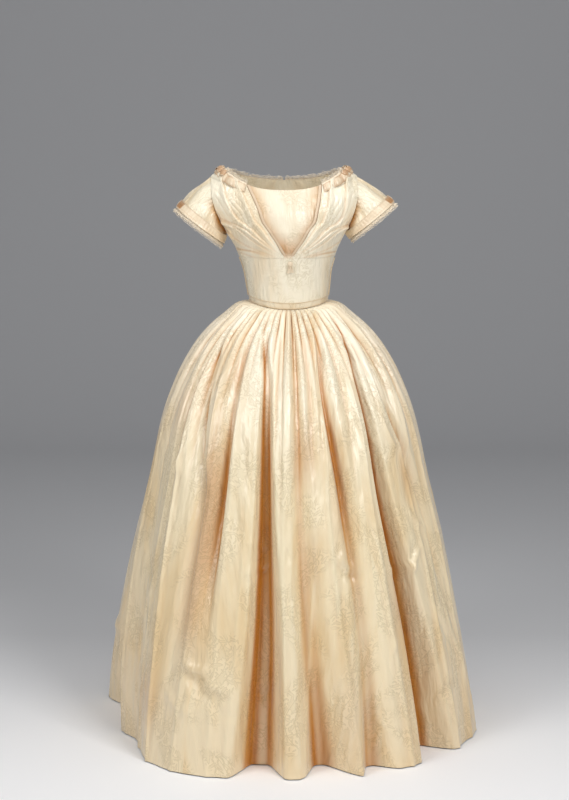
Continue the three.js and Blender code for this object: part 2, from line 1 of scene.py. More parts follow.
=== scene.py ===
"""A wedding dress of cream silk damask: the cloth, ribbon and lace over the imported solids.

Metres in the row frame: the origin is the centre of the waist, +Z is up, -Y is the wearer's front
and +X is the wearer's left. The tables and curve functions work in millimetres, like the solids,
and angles round the body are degrees from the front (0) through the wearer's left (90).
"""

import math

import bpy
import numpy as np
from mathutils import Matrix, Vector


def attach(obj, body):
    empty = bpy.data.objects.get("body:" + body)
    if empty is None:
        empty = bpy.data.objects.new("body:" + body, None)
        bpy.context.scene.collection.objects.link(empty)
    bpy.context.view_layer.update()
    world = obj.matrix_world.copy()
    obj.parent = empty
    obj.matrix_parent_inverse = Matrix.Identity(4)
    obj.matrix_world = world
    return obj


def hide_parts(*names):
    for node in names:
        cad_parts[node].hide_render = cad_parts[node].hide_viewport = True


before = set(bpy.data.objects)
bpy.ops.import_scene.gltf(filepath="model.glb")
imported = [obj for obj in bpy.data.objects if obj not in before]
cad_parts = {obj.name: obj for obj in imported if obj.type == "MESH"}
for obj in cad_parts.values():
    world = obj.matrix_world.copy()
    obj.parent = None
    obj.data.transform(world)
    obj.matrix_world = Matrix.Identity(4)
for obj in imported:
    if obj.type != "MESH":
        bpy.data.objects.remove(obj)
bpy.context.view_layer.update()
rng = np.random.default_rng(11)

# ---- camera ----
camera = bpy.data.objects.new("camera", bpy.data.cameras.new("camera"))
bpy.context.scene.collection.objects.link(camera)
camera.data.lens = 75.06
camera.data.sensor_width = 36
camera.location = (-0.010, -4.0, 0.348)
camera.rotation_euler = (math.radians(81.6), 0, 0)
bpy.context.scene.camera = camera
bpy.context.scene.view_settings.view_transform = "Standard"

# ---- sizes, as in the solids ----
MM = 0.001
SILK, DRAPE, RIBBON = 1.5, 1.2, 1.0
CLOTH, TRIM_CLOTH = 0.8, 0.5  # thickness of the shells of silk, and of ribbon and lace
SEAM_GAP, LAID_GAP = 0.3, 0.95
BAND_HEIGHT, HEM_Z = 13, -1044
WAIST_DIP, DIP_FADE, LEAN = 16, 120, 10
UNDERARM_Z = 165
NECK_HALF_WIDTH, NECK_FRONT_Z, NECK_BACK_Z, NECK_SIDE_Z = 143, 264, 285, 310
NECK_CURVE, SHOULDER_TIP = 2.6, 0.85
SLEEVE_HALF_HEIGHT, SLEEVE_HALF_DEPTH, SLEEVE_TILT, SLEEVE_PUFF = 67, 63, 39, 5
SLEEVE_RIBBON_WIDTH, NECK_RIBBON_WIDTH, LACE_PITCH = 21, 21, 9.0
DRAPE_LOW, DRAPE_END = 108 / UNDERARM_Z, 0.975
GATHERS = 60
TRIM_MIDDLE = SILK / 2 + LAID_GAP + RIBBON / 2  # of a trim that lies on the bodice or a sleeve
SIDES = (("left", 1), ("right", -1))

SKIRT_PROFILE = np.array([  # z, side, front, back
    [0, 93, 78, 74], [-8, 120, 100, 106], [-30, 145, 122, 136], [-70, 188, 158, 182],
    [-120, 228, 196, 226], [-180, 263, 231, 263], [-285, 306, 276, 312], [-425, 339, 313, 350],
    [-555, 372, 344, 384], [-755, 413, 384, 427], [-955, 449, 410, 462], [HEM_Z, 461, 414, 472],
], float)

# A fold a row: where it lies at five heights (degrees), how deep it is at the lower four (mm), its
# half-width at three (degrees), and the share of that half-width that its two walls take. A
# negative depth is a ridge.
FOLD_HEIGHTS = [-20, -180, -450, -750, HEM_Z]
RIDGE_HEIGHTS = [-60, -450, HEM_Z]
FOLDS = [
    [-20, -11, -9, -7.6, -8.2, 22, 50, 68, 90, 3.5, 4.5, 9.0, 0.42, 1.0],
    [3, 3.5, 4.5, 8, 12, 6, 14, 42, 86, 3.5, 4.5, 9.5, 0.8, 1.0],
    [9.7, 10.3, 9, 9, 9, 14, 0, 0, 0, 3, 3, 3, 1, 1],
    [22, 18, 23, 26, 27.5, 22, 32, 22, 46, 3.5, 4.5, 7, 0.8, 1.0],
    [45, 38, 40.5, 46, 50, 30, 54, 80, 100, 3.5, 4.5, 8.5, 0.9, 0.5],
    [57, 52, 63, 66, 66, 16, 18, 0, 0, 3.5, 4, 5, 0.6, 1],
    [74, 74, 74, 74, 74, 0, -4, -6, -6, 8, 8, 9, 1, 1],
    [-28, -27, -28.5, -29, -29, 6, 28, 4, 0, 3.5, 4, 5, 1, 0.6],
    [-30, -30, -30, -30, -30, 0, 0, -10, -20, 14, 18, 22, 1, 1],
    [-44, -44, -36, -36, -36, 8, 14, 8, 0, 4, 5, 6, 0.8, 1],
    [-52, -47, -42, -42, -42, 26, 0, 0, 0, 4.5, 4.5, 5, 0.7, 1],
    [-62, -62, -63, -65, -66, 0, 8, 28, 56, 10, 14, 24, 1, 1],
    [-80, -82, -86, -90, -92, 12, 22, 60, 112, 6, 9, 20, 1, 1],
    [-104, -105, -108, -110, -111, 0, -14, -32, -38, 9, 12, 12, 1, 1],
    [86, 88, 90, 92, 93, 14, 28, 50, 72, 4.5, 6, 10, 0.7, 1],
    [108, 108, 110, 112, 113, 18, 34, 56, 82, 4.5, 6, 9, 1, 0.7],
    [126, 128, 131, 132, 133, 12, 26, 44, 64, 4, 5.5, 9, 0.7, 1],
    [148, 148, 150, 152, 152, 20, 40, 62, 88, 4.5, 6, 10, 1, 0.6],
    [166, 168, 170, 172, 172, 14, 26, 48, 72, 4, 5.5, 9, 0.8, 1],
    [188, 190, 191, 191, 192, 20, 38, 60, 88, 4.5, 6, 10, 0.6, 1],
    [209, 209, 211, 213, 214, 13, 28, 50, 74, 4, 5.5, 10, 1, 0.8],
    [228, 230, 232, 232, 232, 18, 30, 40, 52, 4, 5, 7, 0.7, 1],
]

# Height of the gathers' waves, and of the wider waves that pairs of gathers run into.
GATHER_RELIEF = np.array([  # z, gather, pair
    [0, 1.6, 0], [-8, 3.0, 0.4], [-30, 4.6, 1.6], [-62, 4.6, 3.4], [-105, 3.6, 5.2],
    [-170, 2.0, 5.4], [-265, 0.9, 4.0], [-390, 0.3, 2.2], [-540, 0.1, 1.2], [HEM_Z, 0, 0.6],
], float)

# Narrow ridges that run down the cloth between the large folds: place (degrees) and height (mm)
# at the top, in the middle and at the hem.
RIDGES = [
    [-2, -2, -1, 3, 5, 5], [17, 15, 21, 2, 6, 7], [32, 33, 38, 3, 6, 6], [-17, -16, -18, 2, 4, 3],
    [-24, -23, -23, 2, 3, 3], [-38, -34, -34, 3, 4, 3], [-52, -50, -45, 3, 7, 6], [52, 55, 60, 4, 6, 7],
    [-58, -57, -57, 2, 3, 4], [70, 71, 71, 2, 4, 3], [64, 60, 78, 2, 3, 4], [5, 9, 5, 2, 3, 3],
    [-72, -74, -76, 2, 4, 5], [98, 99, 101, 3, 5, 5], [118, 119, 121, 3, 5, 5], [140, 141, 142, 3, 5, 5],
    [158, 159, 160, 3, 5, 5], [179, 180, 181, 3, 5, 5], [200, 201, 203, 3, 5, 5],
    [219, 220, 222, 3, 5, 5], [242, 244, 246, 3, 4, 4],
]

# Creases and dents, listed one by one: from (angle, z) to (angle, z), width and height in mm. A
# positive height is a ridge.
CREASES = [
    [-14.5, -588, -8.5, -575, 7, 4.5], [-14, -604, -8.6, -590, 7, -3.5],
    [17.5, -556, 25, -590, 8, 6], [18, -574, 24.5, -606, 8, -7], [15, -545, 20, -556, 6, 4],
    [40, -546, 50, -600, 10, 8], [44, -600, 51, -560, 8, -6], [52, -470, 61, -520, 8, 5],
    [55, -560, 46, -640, 9, 5], [-33, -800, -25, -806, 9, 7], [-34, -818, -24, -824, 8, -6],
    [-31, -830, -20, -868, 14, -8], [-27, -818, -17, -850, 9, 5], [-40, -868, -28, -905, 12, 4],
    [-24, -878, -14, -905, 9, -3], [2, -640, 3, -720, 6, 4], [13, -800, 14, -900, 8, 4],
    [29, -846, 31, -960, 7, 6], [36, -750, 34, -820, 6, 4], [-55, -640, -62, -760, 14, 5],
    [-68, -560, -60, -640, 10, -5], [60, -700, 66, -800, 10, -5], [60, -880, 54, -960, 10, -5],
    [-30, -300, -36, -420, 9, 3], [-46, -300, -52, -420, 9, 3], [46, -250, 52, -330, 8, 4],
    [100, -480, 108, -560, 11, 5], [136, -620, 146, -650, 10, -6], [176, -520, 186, -560, 10, 5],
    [206, -700, 198, -780, 11, -6], [226, -560, 240, -600, 10, 5], [160, -840, 172, -870, 11, 6],
    [122, -860, 128, -930, 10, -5], [246, -800, 256, -850, 12, 6],
]

# Patches of painted shade, brownish like the shade in the folds: angle, z, width (degrees), height (mm) and
# strength.
PAINTED_SHADE_PATCHES = [
    [-32.5, -400, 4.5, 130, 0.55], [-29, -150, 4, 45, 0.35], [6.5, -330, 4.5, 70, 0.40],
    [-32, -560, 6, 90, 0.40], [-33, -690, 6, 90, 0.40], [9, -560, 3, 80, 0.25],
    [41, -650, 4, 130, 0.65], [55, -390, 3.5, 60, 0.40], [46, -840, 6, 130, 0.28], [19, -900, 4, 120, 0.14],
    [20, -430, 3, 120, 0.35], [-58, -240, 7, 60, 0.20], [-50, -900, 9, 70, 0.25],
    [-5, -860, 4, 120, 0.10], [100, -500, 8, 120, 0.30], [150, -700, 8, 120, 0.30],
    [205, -450, 8, 120, 0.30], [236, -760, 8, 120, 0.30],
]

BODICE_SECTIONS = np.array([  # z, side, front, back
    [0, 93, 78, 74], [36, 98, 84, 77], [72, 103, 94, 83], [108, 114, 106, 90],
    [132, 123, 113, 94], [UNDERARM_Z, 140, 117, 98],
], float)
ARMHOLE = np.array([  # rise, x, z, front, back
    [0, 140, UNDERARM_Z, 0, 0], [0.12, 147, 178, 13, 14], [0.24, 154, 192, 26, 28],
    [0.48, 167, 226, 45, 50], [0.6, 171, 245, 47, 54], [0.72, 173, 268, 36, 42],
    [SHOULDER_TIP, 174, 292, 0, 0], [1, NECK_HALF_WIDTH, NECK_SIDE_Z, 0, 0],
], float)
CENTRE_LINE = np.array([[0, 117, 98], [0.35, 113, 99], [0.7, 101, 91], [1, 88, 75]], float)
V_EDGE = np.array([  # z, wearer's left, wearer's right
    [97, 1, 1], [110, 14, 7], [124, 24, 15], [143, 38, 25], [172, 56, 43], [192, 71, 56],
    [215, 77, 63], [240, 83, 73], [274, 88, 88],
], float)
SLEEVE_HEMS = {1: (206, -4, 190), -1: (205, -4, 178)}
ARM_RISES = [0.85, 0.72, 0.6, 0.48, 0.36, 0.24, 0.12, 0, 0.12, 0.24, 0.36, 0.48, 0.6, 0.72, 0.85]


# ---- curves ----
def curve(xs, ys):
    """A smooth function through the points, with no overshoot, level beyond its ends."""
    order = np.argsort(xs)
    xs, ys = np.asarray(xs, float)[order], np.asarray(ys, float)[order]
    span = np.diff(xs)
    rate = np.diff(ys) / span
    slope = np.concatenate([rate[:1], np.zeros(len(xs) - 2), rate[-1:]])
    product = rate[:-1] * rate[1:]
    turning = product <= 0
    total = np.where(turning, 1, rate[:-1] + rate[1:])
    slope[1:-1] = np.where(turning, 0, 2 * product / total)

    def value(x):
        x = np.clip(x, xs[0], xs[-1])
        k = np.clip(np.searchsorted(xs, x) - 1, 0, len(xs) - 2)
        t = (x - xs[k]) / span[k]
        near = ys[k] * (1 + 2 * t) + slope[k] * span[k] * t
        far = ys[k + 1] * (3 - 2 * t) - slope[k + 1] * span[k] * (1 - t)
        return near * (1 - t) ** 2 + far * t**2

    return value


def columns_of(rows):
    return [curve(rows[:, 0], rows[:, k]) for k in range(1, rows.shape[1])]


def lerp(a, b, t):
    return a + (b - a) * t


def smooth(t):
    t = np.clip(t, 0, 1)
    return t * t * (3 - 2 * t)


def dip(angle, z):
    """How far the waistline drops at the front, fading away from the waist."""
    fade = np.maximum(0, 1 - np.abs(z) / DIP_FADE)
    return -WAIST_DIP * np.maximum(0, np.cos(np.radians(angle))) ** 2 * fade**1.5


def lean(points):
    """Leans the upper part towards the wearer's right, as the dress stands."""
    points[..., 0] -= LEAN * np.maximum(0, points[..., 2] / NECK_FRONT_Z)
    return points


def bell(x, wide=1.0):
    return np.exp(-((x / wide) ** 2))


def unit(vectors):
    return vectors / np.maximum(np.linalg.norm(vectors, axis=-1, keepdims=True), 1e-9)


def xyz(*coordinates):
    return np.stack(np.broadcast_arrays(*coordinates), -1)


def lengths(points, axis=0):
    """Distance along a line of points from its first one."""
    steps = np.linalg.norm(np.diff(points, axis=axis), axis=-1)
    start = np.zeros_like(np.take(steps, [0], axis=axis))
    return np.cumsum(np.concatenate([start, steps], axis=axis), axis=axis)


def grid_normals(points, ring=False):
    """Unit normals of a grid (rows, columns, 3)."""
    across = np.roll(points, -1, 1) - np.roll(points, 1, 1) if ring else np.gradient(points, axis=1)
    return unit(np.cross(across, np.gradient(points, axis=0)))


# ---- shader nodes ----
class Value:
    """An output of a shader node. Arithmetic with it adds Math nodes."""

    def __init__(self, node, output=0):
        self.tree, self.socket = node.id_data, node.outputs[output]

    def math(self, operation, *others):
        return value(self.tree, "Math", dict(enumerate([self, *others])), operation=operation)

    def __add__(self, other):
        return self.math("ADD", other)

    def __sub__(self, other):
        return self.math("SUBTRACT", other)

    def __rsub__(self, other):
        return value(self.tree, "Math", {0: other, 1: self}, operation="SUBTRACT")

    def __mul__(self, other):
        return self.math("MULTIPLY", other)

    def __abs__(self):
        return self.math("ABSOLUTE")

    def step_up(self, low, high, top=1.0):
        inputs = {"Value": self, "From Min": low, "From Max": high, "To Min": 0.0, "To Max": top}
        return value(self.tree, "MapRange", inputs, interpolation_type="SMOOTHSTEP")

    def colour(self, a, b, mode="MIX"):
        """Colour a where this value is 0, b where it is 1."""
        return value(self.tree, "Mix", {0: self, 6: a, 7: b}, 2, data_type="RGBA", blend_type=mode)

    def vector(self, operation, *others, output=0):
        inputs = dict(enumerate([self, *others]))
        return value(self.tree, "VectorMath", inputs, output, operation=operation)

    def noise(self, scale, detail=2.0, roughness=0.5):
        inputs = {"Vector": self, "Scale": scale, "Detail": detail, "Roughness": roughness}
        return value(self.tree, "TexNoise", inputs, "Fac")

    def bump(self, strength, distance, **below):
        inputs = {"Height": self, "Strength": strength, "Distance": distance, **below}
        return value(self.tree, "Bump", inputs)

    def xyz(self):
        node = put(self.tree, "SeparateXYZ", {0: self})
        return [Value(node, k) for k in range(3)]


def fill(node, inputs):
    for key, given in inputs.items():
        if isinstance(given, Value):
            node.id_data.links.new(given.socket, node.inputs[key])
        else:
            node.inputs[key].default_value = given
    return node


def put(tree, kind, inputs=None, **settings):
    node = tree.nodes.new("ShaderNode" + kind)
    for key, setting in settings.items():
        setattr(node, key, setting)
    return fill(node, inputs or {})


def value(tree, kind, inputs=None, output=0, **settings):
    return Value(put(tree, kind, inputs, **settings), output)


def srgb(*levels):
    """An RGBA colour from 0-255 screen levels."""
    def linear(c):
        c /= 255
        return c / 12.92 if c <= 0.04045 else ((c + 0.055) / 1.055) ** 2.4
    return (*[linear(c) for c in levels], 1)


def new_material(name, **constants):
    material = bpy.data.materials.new(name)
    material.use_nodes = True
    tree = material.node_tree
    shader = tree.nodes["Principled BSDF"]
    return material, tree, fill(shader, {key.replace("_", " "): c for key, c in constants.items()})


def scatter(place, per_metre, randomness):
    """The way from the nearest of many scattered middles, and that middle's random colour."""
    inputs = {"Vector": place, "Scale": per_metre, "Randomness": randomness}
    cells = put(place.tree, "TexVoronoi", inputs, voronoi_dimensions="2D")
    return place.vector("SUBTRACT", Value(cells, "Position")), Value(cells, "Color")


def leaf_scatter(place, per_metre, length, width, shift):
    """Leaves of random direction, one to a cell. Returns the distance inside a leaf's edge."""
    local, chance = scatter(place.vector("ADD", shift), per_metre, 0.75)
    angle = value(place.tree, "SeparateColor", {0: chance}) * (2 * math.pi)
    inputs = {"Vector": local, "Angle": angle}
    x, y, _ = value(place.tree, "VectorRotate", inputs, rotation_type="Z_AXIS").xyz()
    share = x.math("DIVIDE", length)
    return (1.0 - share * share) * width - abs(y)


def rosette_scatter(place, per_metre, radius):
    """Flowers of five petals, one to a cell. Returns the distance inside a petal's edge."""
    local, _ = scatter(place, per_metre, 0.7)
    x, y, _ = local.xyz()
    turn = y.math("ARCTAN2", x) * 2.5
    petal = abs(turn.math("COSINE")).math("MULTIPLY_ADD", 0.45 * radius, 0.55 * radius)
    return petal - local.vector("LENGTH", output="Value")


VINE_APART, VINE_WAVE = 0.155, 0.27  # metres between the vines, and a wave's length


def damask(name, light, high, painted_shade_colour, figure, sprays=1.0, crumpled=0.010, fineness=30.0):
    """Silk damask: vines of leaves and small flowers, a shade greyer and less glossy than the
    ground, on a fine weave. The ground has painted light, lighter high up, and painted shade in a
    brownish colour where the mesh's shade attribute is high; it is mellowed in random streaks.
    `sprays` is the figure's strength, `crumpled` and `fineness` are the crumple's height and scale."""
    material, tree, shader = new_material(
        name, Sheen_Weight=0.25, Sheen_Roughness=0.35, Specular_IOR_Level=0.8)
    place = value(tree, "UVMap", uv_map="cloth")
    u, v, _ = place.xyz()
    wave = (v * (2 * math.pi / VINE_WAVE)).math("SINE") * 0.24
    vine = u * (1 / VINE_APART) + (wave + place.noise(5.0) * 0.5)
    aside = abs(vine.math("FRACT") - 0.5) * VINE_APART
    clumps = place.noise(11.0, 1.0).step_up(0.36, 0.50)
    thick = (0.062 - aside).step_up(0.0, 0.02) * clumps
    large = leaf_scatter(place, 52.0, 0.0125, 0.0040, (3.1, 1.7, 0))
    small = leaf_scatter(place, 95.0, 0.0070, 0.0023, (7.3, 5.9, 0))
    flower = rosette_scatter(place, 15.0, 0.014)
    inside = large.math("MAXIMUM", small).math("MAXIMUM", flower)
    filled = inside.step_up(0.0, 0.0007) * thick
    core = inside.step_up(0.0011, 0.0022) * thick
    stem = (0.0014 - abs(aside - 0.011)).step_up(0.0, 0.0008) * clumps
    drawn = (filled - core * 0.65).math("MAXIMUM", stem) * sprays
    # Painted light: the ground is lighter towards the top of the cloth.
    painted_light_top = v.step_up(-0.55, -0.10).colour(light, high)
    # Painted shade: the ground turns brownish where the mesh's shade attribute is high.
    ground = value(tree, "Attribute", output="Fac", attribute_name="painted_shade").colour(painted_light_top, painted_shade_colour)
    stretched = place.vector("MULTIPLY", (1.0, 0.22, 1.0))
    age = stretched.noise(14.0, 3.0).step_up(0.42, 0.74, 0.42)
    ground = age.colour(ground, MELLOW)
    weave = place.vector("MULTIPLY", (1600.0, 420.0, 1.0)).noise(1.0, 1.0)
    crumple = stretched.noise(fineness, 3.0).bump(1.0, crumpled)
    fill(shader, {
        "Base Color": (drawn * 0.48).colour(ground, figure, "MULTIPLY"),
        "Roughness": drawn.math("MULTIPLY_ADD", 0.24, 0.30),
        "Normal": filled.math("MULTIPLY_ADD", 0.9, weave).bump(0.35, 0.0003, Normal=crumple)})
    return material


def satin(name, light, dark):
    """Ribbon with fine ribs along it, with painted shade set by the mesh's shade attribute and random
    brownish patches of painted reflection.
    """
    material, tree, shader = new_material(
        name, Sheen_Weight=0.2, Sheen_Roughness=0.3, Specular_IOR_Level=0.6)
    place = value(tree, "UVMap", uv_map="cloth")
    ribs = place.vector("MULTIPLY", (60.0, 900.0, 1.0)).noise(1.0)
    # Painted reflection: random brownish patches on the satin.
    reflection_patch = place.noise(26.0).step_up(0.35, 0.7)
    painted_shade = value(tree, "Attribute", output="Fac", attribute_name="painted_shade")
    colour = painted_shade.math("MAXIMUM", reflection_patch * 0.2).colour(light, dark)
    fill(shader, {
        "Base Color": (ribs * 0.2).colour(colour, dark),
        "Roughness": ribs.math("MULTIPLY_ADD", 0.15, 0.24), "Normal": ribs.bump(0.2, 0.0002)})
    return material


def thread(name, light, dark):
    """Twisted thread or cord, uneven in tone."""
    material, tree, shader = new_material(
        name, Roughness=0.75, Sheen_Weight=0.8, Sheen_Roughness=0.5, Specular_IOR_Level=0.3)
    place = value(tree, "TexCoord", output="Object")
    twist = place.noise(900.0, 1.0)
    colour = ((twist + place.noise(60.0)) * 0.5).colour(light, dark)
    fill(shader, {"Base Color": colour, "Normal": twist.bump(0.4, 0.0003)})
    return material


MELLOW = srgb(220, 176, 102)
# Skirt silk: the second colour is the painted light of its upper part, the third its painted shade.
SILK_SKIRT = damask(
    "silk_damask", srgb(246, 230, 194), srgb(253, 243, 219), srgb(190, 120, 34),
    srgb(205, 199, 178))
# Bodice silk: as light as the skirt's top all over, which is painted light; the third colour is its painted
# shade.
BODICE_LIGHT = srgb(253, 243, 218)
SILK_BODICE = damask(
    "silk_damask_bodice", BODICE_LIGHT, BODICE_LIGHT, srgb(200, 138, 64), srgb(204, 197, 174),
    0.9, 0.006, 52.0)
# The ribbon's dark colour is that of its painted shade and painted reflection, and of its ribs.
SATIN = satin("satin_ribbon", srgb(248, 232, 202), srgb(176, 120, 64))
LACE = thread("lace_thread", srgb(255, 244, 224), srgb(252, 232, 200))
PIPING = thread("piping_cord", srgb(244, 230, 200), srgb(206, 170, 120))


# ---- meshes ----
def new_piece(name, vertices, faces, material, normals=None, uv=None, painted_shade=None):
    mesh = bpy.data.meshes.new(name)
    mesh.from_pydata(vertices * MM, [], faces.tolist())
    mesh.polygons.foreach_set("use_smooth", np.ones(len(faces), bool))
    if uv is not None:
        mesh.uv_layers.new(name="cloth").data.foreach_set("uv", (uv * MM).ravel())
    # The shade attribute: how much painted shade the materials mix into the cloth's colour at each point.
    if painted_shade is not None:
        mesh.attributes.new("painted_shade", "FLOAT", "POINT").data.foreach_set("value", painted_shade.astype(np.float32))
    mesh.update()
    if normals is not None:
        mesh.normals_split_custom_set_from_vertices(normals)
    mesh.materials.append(material)
    piece = bpy.data.objects.new(name, mesh)
    bpy.context.scene.collection.objects.link(piece)
    return piece


def closed_ring(grid):
    return np.concatenate([grid, grid[:, :1]], 1)


def cloth_place(points):
    """Flat coordinates of a grid: along its rows from their middle, and up its columns."""
    across = lengths(points, 1)
    middle = across[:, [across.shape[1] // 2]]
    up = lengths(points, 0).mean(1, keepdims=True)
    return np.stack([across - middle, np.broadcast_to(up, across.shape)], -1)


def squares(rows, columns):
    """The row and the column of each square of a grid."""
    return [a.ravel() for a in np.meshgrid(np.arange(rows), np.arange(columns), indexing="ij")]


def shell(name, points, material, thickness, painted_shade=None, uv=None, ring=False, outward=1, normals=None):
    """Cloth of one thickness on a grid of its middle points (rows, columns, 3), closed along its
    free edges. A ring's uv has one column more than its points."""
    rows, columns = points.shape[:2]
    if uv is None:
        uv = cloth_place(closed_ring(points) if ring else points)
    if normals is None:
        normals = grid_normals(points, ring) * outward
    both = [(points + sign * normals * thickness / 2).reshape(-1, 3) for sign in (1, -1)]
    count = rows * columns
    stretches = columns if ring else columns - 1
    i, j = squares(rows - 1, stretches)

    def corner(row, column):
        return row * columns + column % columns

    corners = [(i, j), (i, j + 1), (i + 1, j + 1), (i + 1, j)][::outward]
    outer = np.stack([corner(*c) for c in corners], 1)
    spots = np.stack([uv[c] for c in corners], 1)
    faces, uvs = [outer, outer[:, ::-1] + count], [spots, spots[:, ::-1]]

    def rim(a, b):
        """Closes the edge that runs through these (row, column) places."""
        first, second = corner(*a), corner(*b)
        face = np.stack([first, first + count, second + count, second], 1)
        faces.append(face[:, ::outward])
        uvs.append(np.stack([uv[a], uv[a], uv[b], uv[b]], 1)[:, ::outward])

    line = np.arange(stretches)
    rim((0 * line, line), (0 * line, line + 1))
    rim((0 * line + rows - 1, line + 1), (0 * line + rows - 1, line))
    if not ring:
        line = np.arange(rows - 1)
        rim((line + 1, 0 * line), (line, 0 * line))
        rim((line, 0 * line + columns - 1), (line + 1, 0 * line + columns - 1))
    flat = np.concatenate([normals.reshape(-1, 3), -normals.reshape(-1, 3)])
    depth = np.zeros(count) if painted_shade is None else painted_shade.ravel()
    return new_piece(name, np.concatenate(both), np.concatenate(faces), material, flat,
                     np.concatenate(uvs).reshape(-1, 2), np.concatenate([depth, depth]))


def tubes(name, paths, radius, material, sides, closed=False):
    """Fine round threads or cords along lines of points, all in one piece."""
    vertices, faces, offset = [], [], 0
    turn = (np.arange(sides) * 2 * np.pi / sides)[None, :, None]
    for path in paths:
        count = len(path)
        ahead = unit(np.roll(path, -1, 0) - np.roll(path, 1, 0) if closed else np.gradient(path, axis=0))
        hint = np.where(np.abs(ahead[:, 2:3]) > 0.9, [[1.0, 0, 0]], [[0, 0, 1.0]])
        side = unit(np.cross(ahead, hint))
        up = np.cross(side, ahead)
        ring = (side[:, None] * np.cos(turn) + up[:, None] * np.sin(turn)) * radius
        vertices.append((path[:, None] + ring).reshape(-1, 3))
        i, k = squares(count if closed else count - 1, sides)
        i1, k1 = (i + 1) % count, (k + 1) % sides
        face = [i * sides + k, i * sides + k1, i1 * sides + k1, i1 * sides + k]
        faces.append(np.stack(face, 1) + offset)
        offset += count * sides
    return new_piece(name, np.concatenate(vertices), np.concatenate(faces), material)


def place_piece(piece, slot, *nodes):
    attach(piece, "root")
    if nodes:
        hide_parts(*nodes)
    return piece


# ---- skirt ----
side_at, front_at, back_at = columns_of(SKIRT_PROFILE)
gather_at, pair_at = columns_of(GATHER_RELIEF)

FOLD_CURVES = [
    [curve(FOLD_HEIGHTS, row[:5]), curve(FOLD_HEIGHTS, [0, *row[5:9]]),
     curve(FOLD_HEIGHTS, [row[9], row[9], row[10], (row[10] + row[11]) / 2, row[11]]), *row[12:]]
    for row in FOLDS]
RIDGE_CURVES = [[curve(RIDGE_HEIGHTS, part) for part in (row[:3], row[3:])] for row in RIDGES]


def turn_from(angle, middle):
    return (angle - middle + 180) % 360 - 180


def fold_depth(angle, z):
    """How deep the large folds are at a height, from FOLDS."""
    total = np.zeros_like(angle)
    for at, deep, wide, left, right in FOLD_CURVES:
        share = turn_from(angle, at(z)) / wide(z)
        total += deep(z) * smooth((1 + share) / left) * smooth((1 - share) / right)
    return total


def ridge_height(angle, z):
    total = np.zeros_like(angle)
    fade = smooth((-z - 60) / 120)
    scale, half_width, sharpness = 1.25, 0.95, 1.15
    for at, high in RIDGE_CURVES:
        off = np.abs(turn_from(angle, at(z)) / half_width)
        total += scale * high(z) * np.exp(-(off**sharpness))
    return total * fade


def rib(phase):
    """A wave with round crests and narrow troughs."""
    return 2 * np.abs(np.cos(phase / 2)) ** 0.8 - 1.2


def skirt_ring(angle, z):
    """Points of the skirt's cloth at a height, and the painted shade of each, from 0 to 1."""
    turn = np.radians(angle)
    sin, cos = np.sin(turn), np.cos(turn)

    def reach(height):
        depth = np.where(cos > 0, front_at(height), back_at(height))
        return np.hypot(side_at(height) * sin, depth * cos), depth

    radius, depth = reach(z)
    slope = np.arctan2(reach(z - 4)[0] - radius, 4) if z < 0 else 0
    uneven = 1 + 0.25 * np.sin(7 * turn + 1) + 0.2 * np.sin(11 * turn + 2)
    drift = 0.9 * np.sin(3 * turn + 0.5) + 0.6 * np.sin(5 * turn)
    gather = uneven * (gather_at(z) * rib(GATHERS * turn + 0.5 * drift)
                       + pair_at(z) * rib(GATHERS / 2 * turn + drift))
    deep = fold_depth(angle, z)
    out = radius - deep + ridge_height(angle, z) + gather * np.cos(slope)
    heading = np.stack([side_at(z) * sin, -depth * cos], 1) / radius[:, None]
    height = z + dip(angle, z) + gather * np.sin(slope) - (SILK / 2 + SEAM_GAP if z == 0 else 0)
    points = np.column_stack([heading * out[:, None], height])

    def hollow(width, depth_scale):
        """How far a point lies inside the mean of its neighbours."""
        kernel = np.hanning(2 * width + 1)
        padded = np.concatenate([out[-width:], out, out[:width]])
        return (np.convolve(padded, kernel / kernel.sum(), "valid") - out) / depth_scale

    # Painted shade: brownish in the hollows of the large folds and gathers, most near the waist, and more
    # towards the hem, at both sides and in the listed patches of painted shade.
    folds, gathers = hollow(90, 26), hollow(22, 4.5)
    near_waist = 0.5 + 2.6 * math.exp(z / 120)
    shade = 1.05 * smooth((folds - 0.12) / 0.88) + np.clip(gathers, 0, 0.8) * near_waist
    shade += 0.09 * smooth((-z - 600) / 400) + 0.12 * np.abs(sin) ** 4  # the hem and both sides
    for middle, level, wide, tall, strength in PAINTED_SHADE_PATCHES:
        shade += strength * bell(turn_from(angle, middle), wide) * bell(z - level, tall)
    return points, np.clip(shade, 0, 1)


def crease_height(angle, z):
    """Height of the listed creases and of many slight scattered ones."""
    arc = 430 * math.pi / 180  # mm to a degree, at the skirt's middle
    total = np.zeros_like(angle)
    count = 150
    scattered = np.column_stack([rng.uniform(-180, 180, count), HEM_Z * rng.uniform(0.22, 0.97, count)])
    tilt = rng.normal(0, 0.9, count)
    size = rng.uniform(25, 80, count)
    ends = scattered + np.column_stack([size * np.sin(tilt) / arc, -size * np.cos(tilt)])
    extra = np.column_stack([scattered, ends, rng.uniform(5, 10, count), rng.normal(0, 1.7, count)])
    for a0, z0, a1, z1, wide, high in [*CREASES, *extra.tolist()]:
        du, dv = (a1 - a0) * arc, z1 - z0
        length = math.hypot(du, dv)
        u, v = turn_from(angle, a0) * arc, z - z0
        along = (u * du + v * dv) / length**2
        aside = (v * du - u * dv) / length + 0.12 * length * np.sin(math.pi * np.clip(along, 0, 1))
        ends_fade = smooth((along + 0.25) / 0.5) * smooth((1.25 - along) / 0.5)
        total += high * bell(aside, wide) * ends_fade
    return total


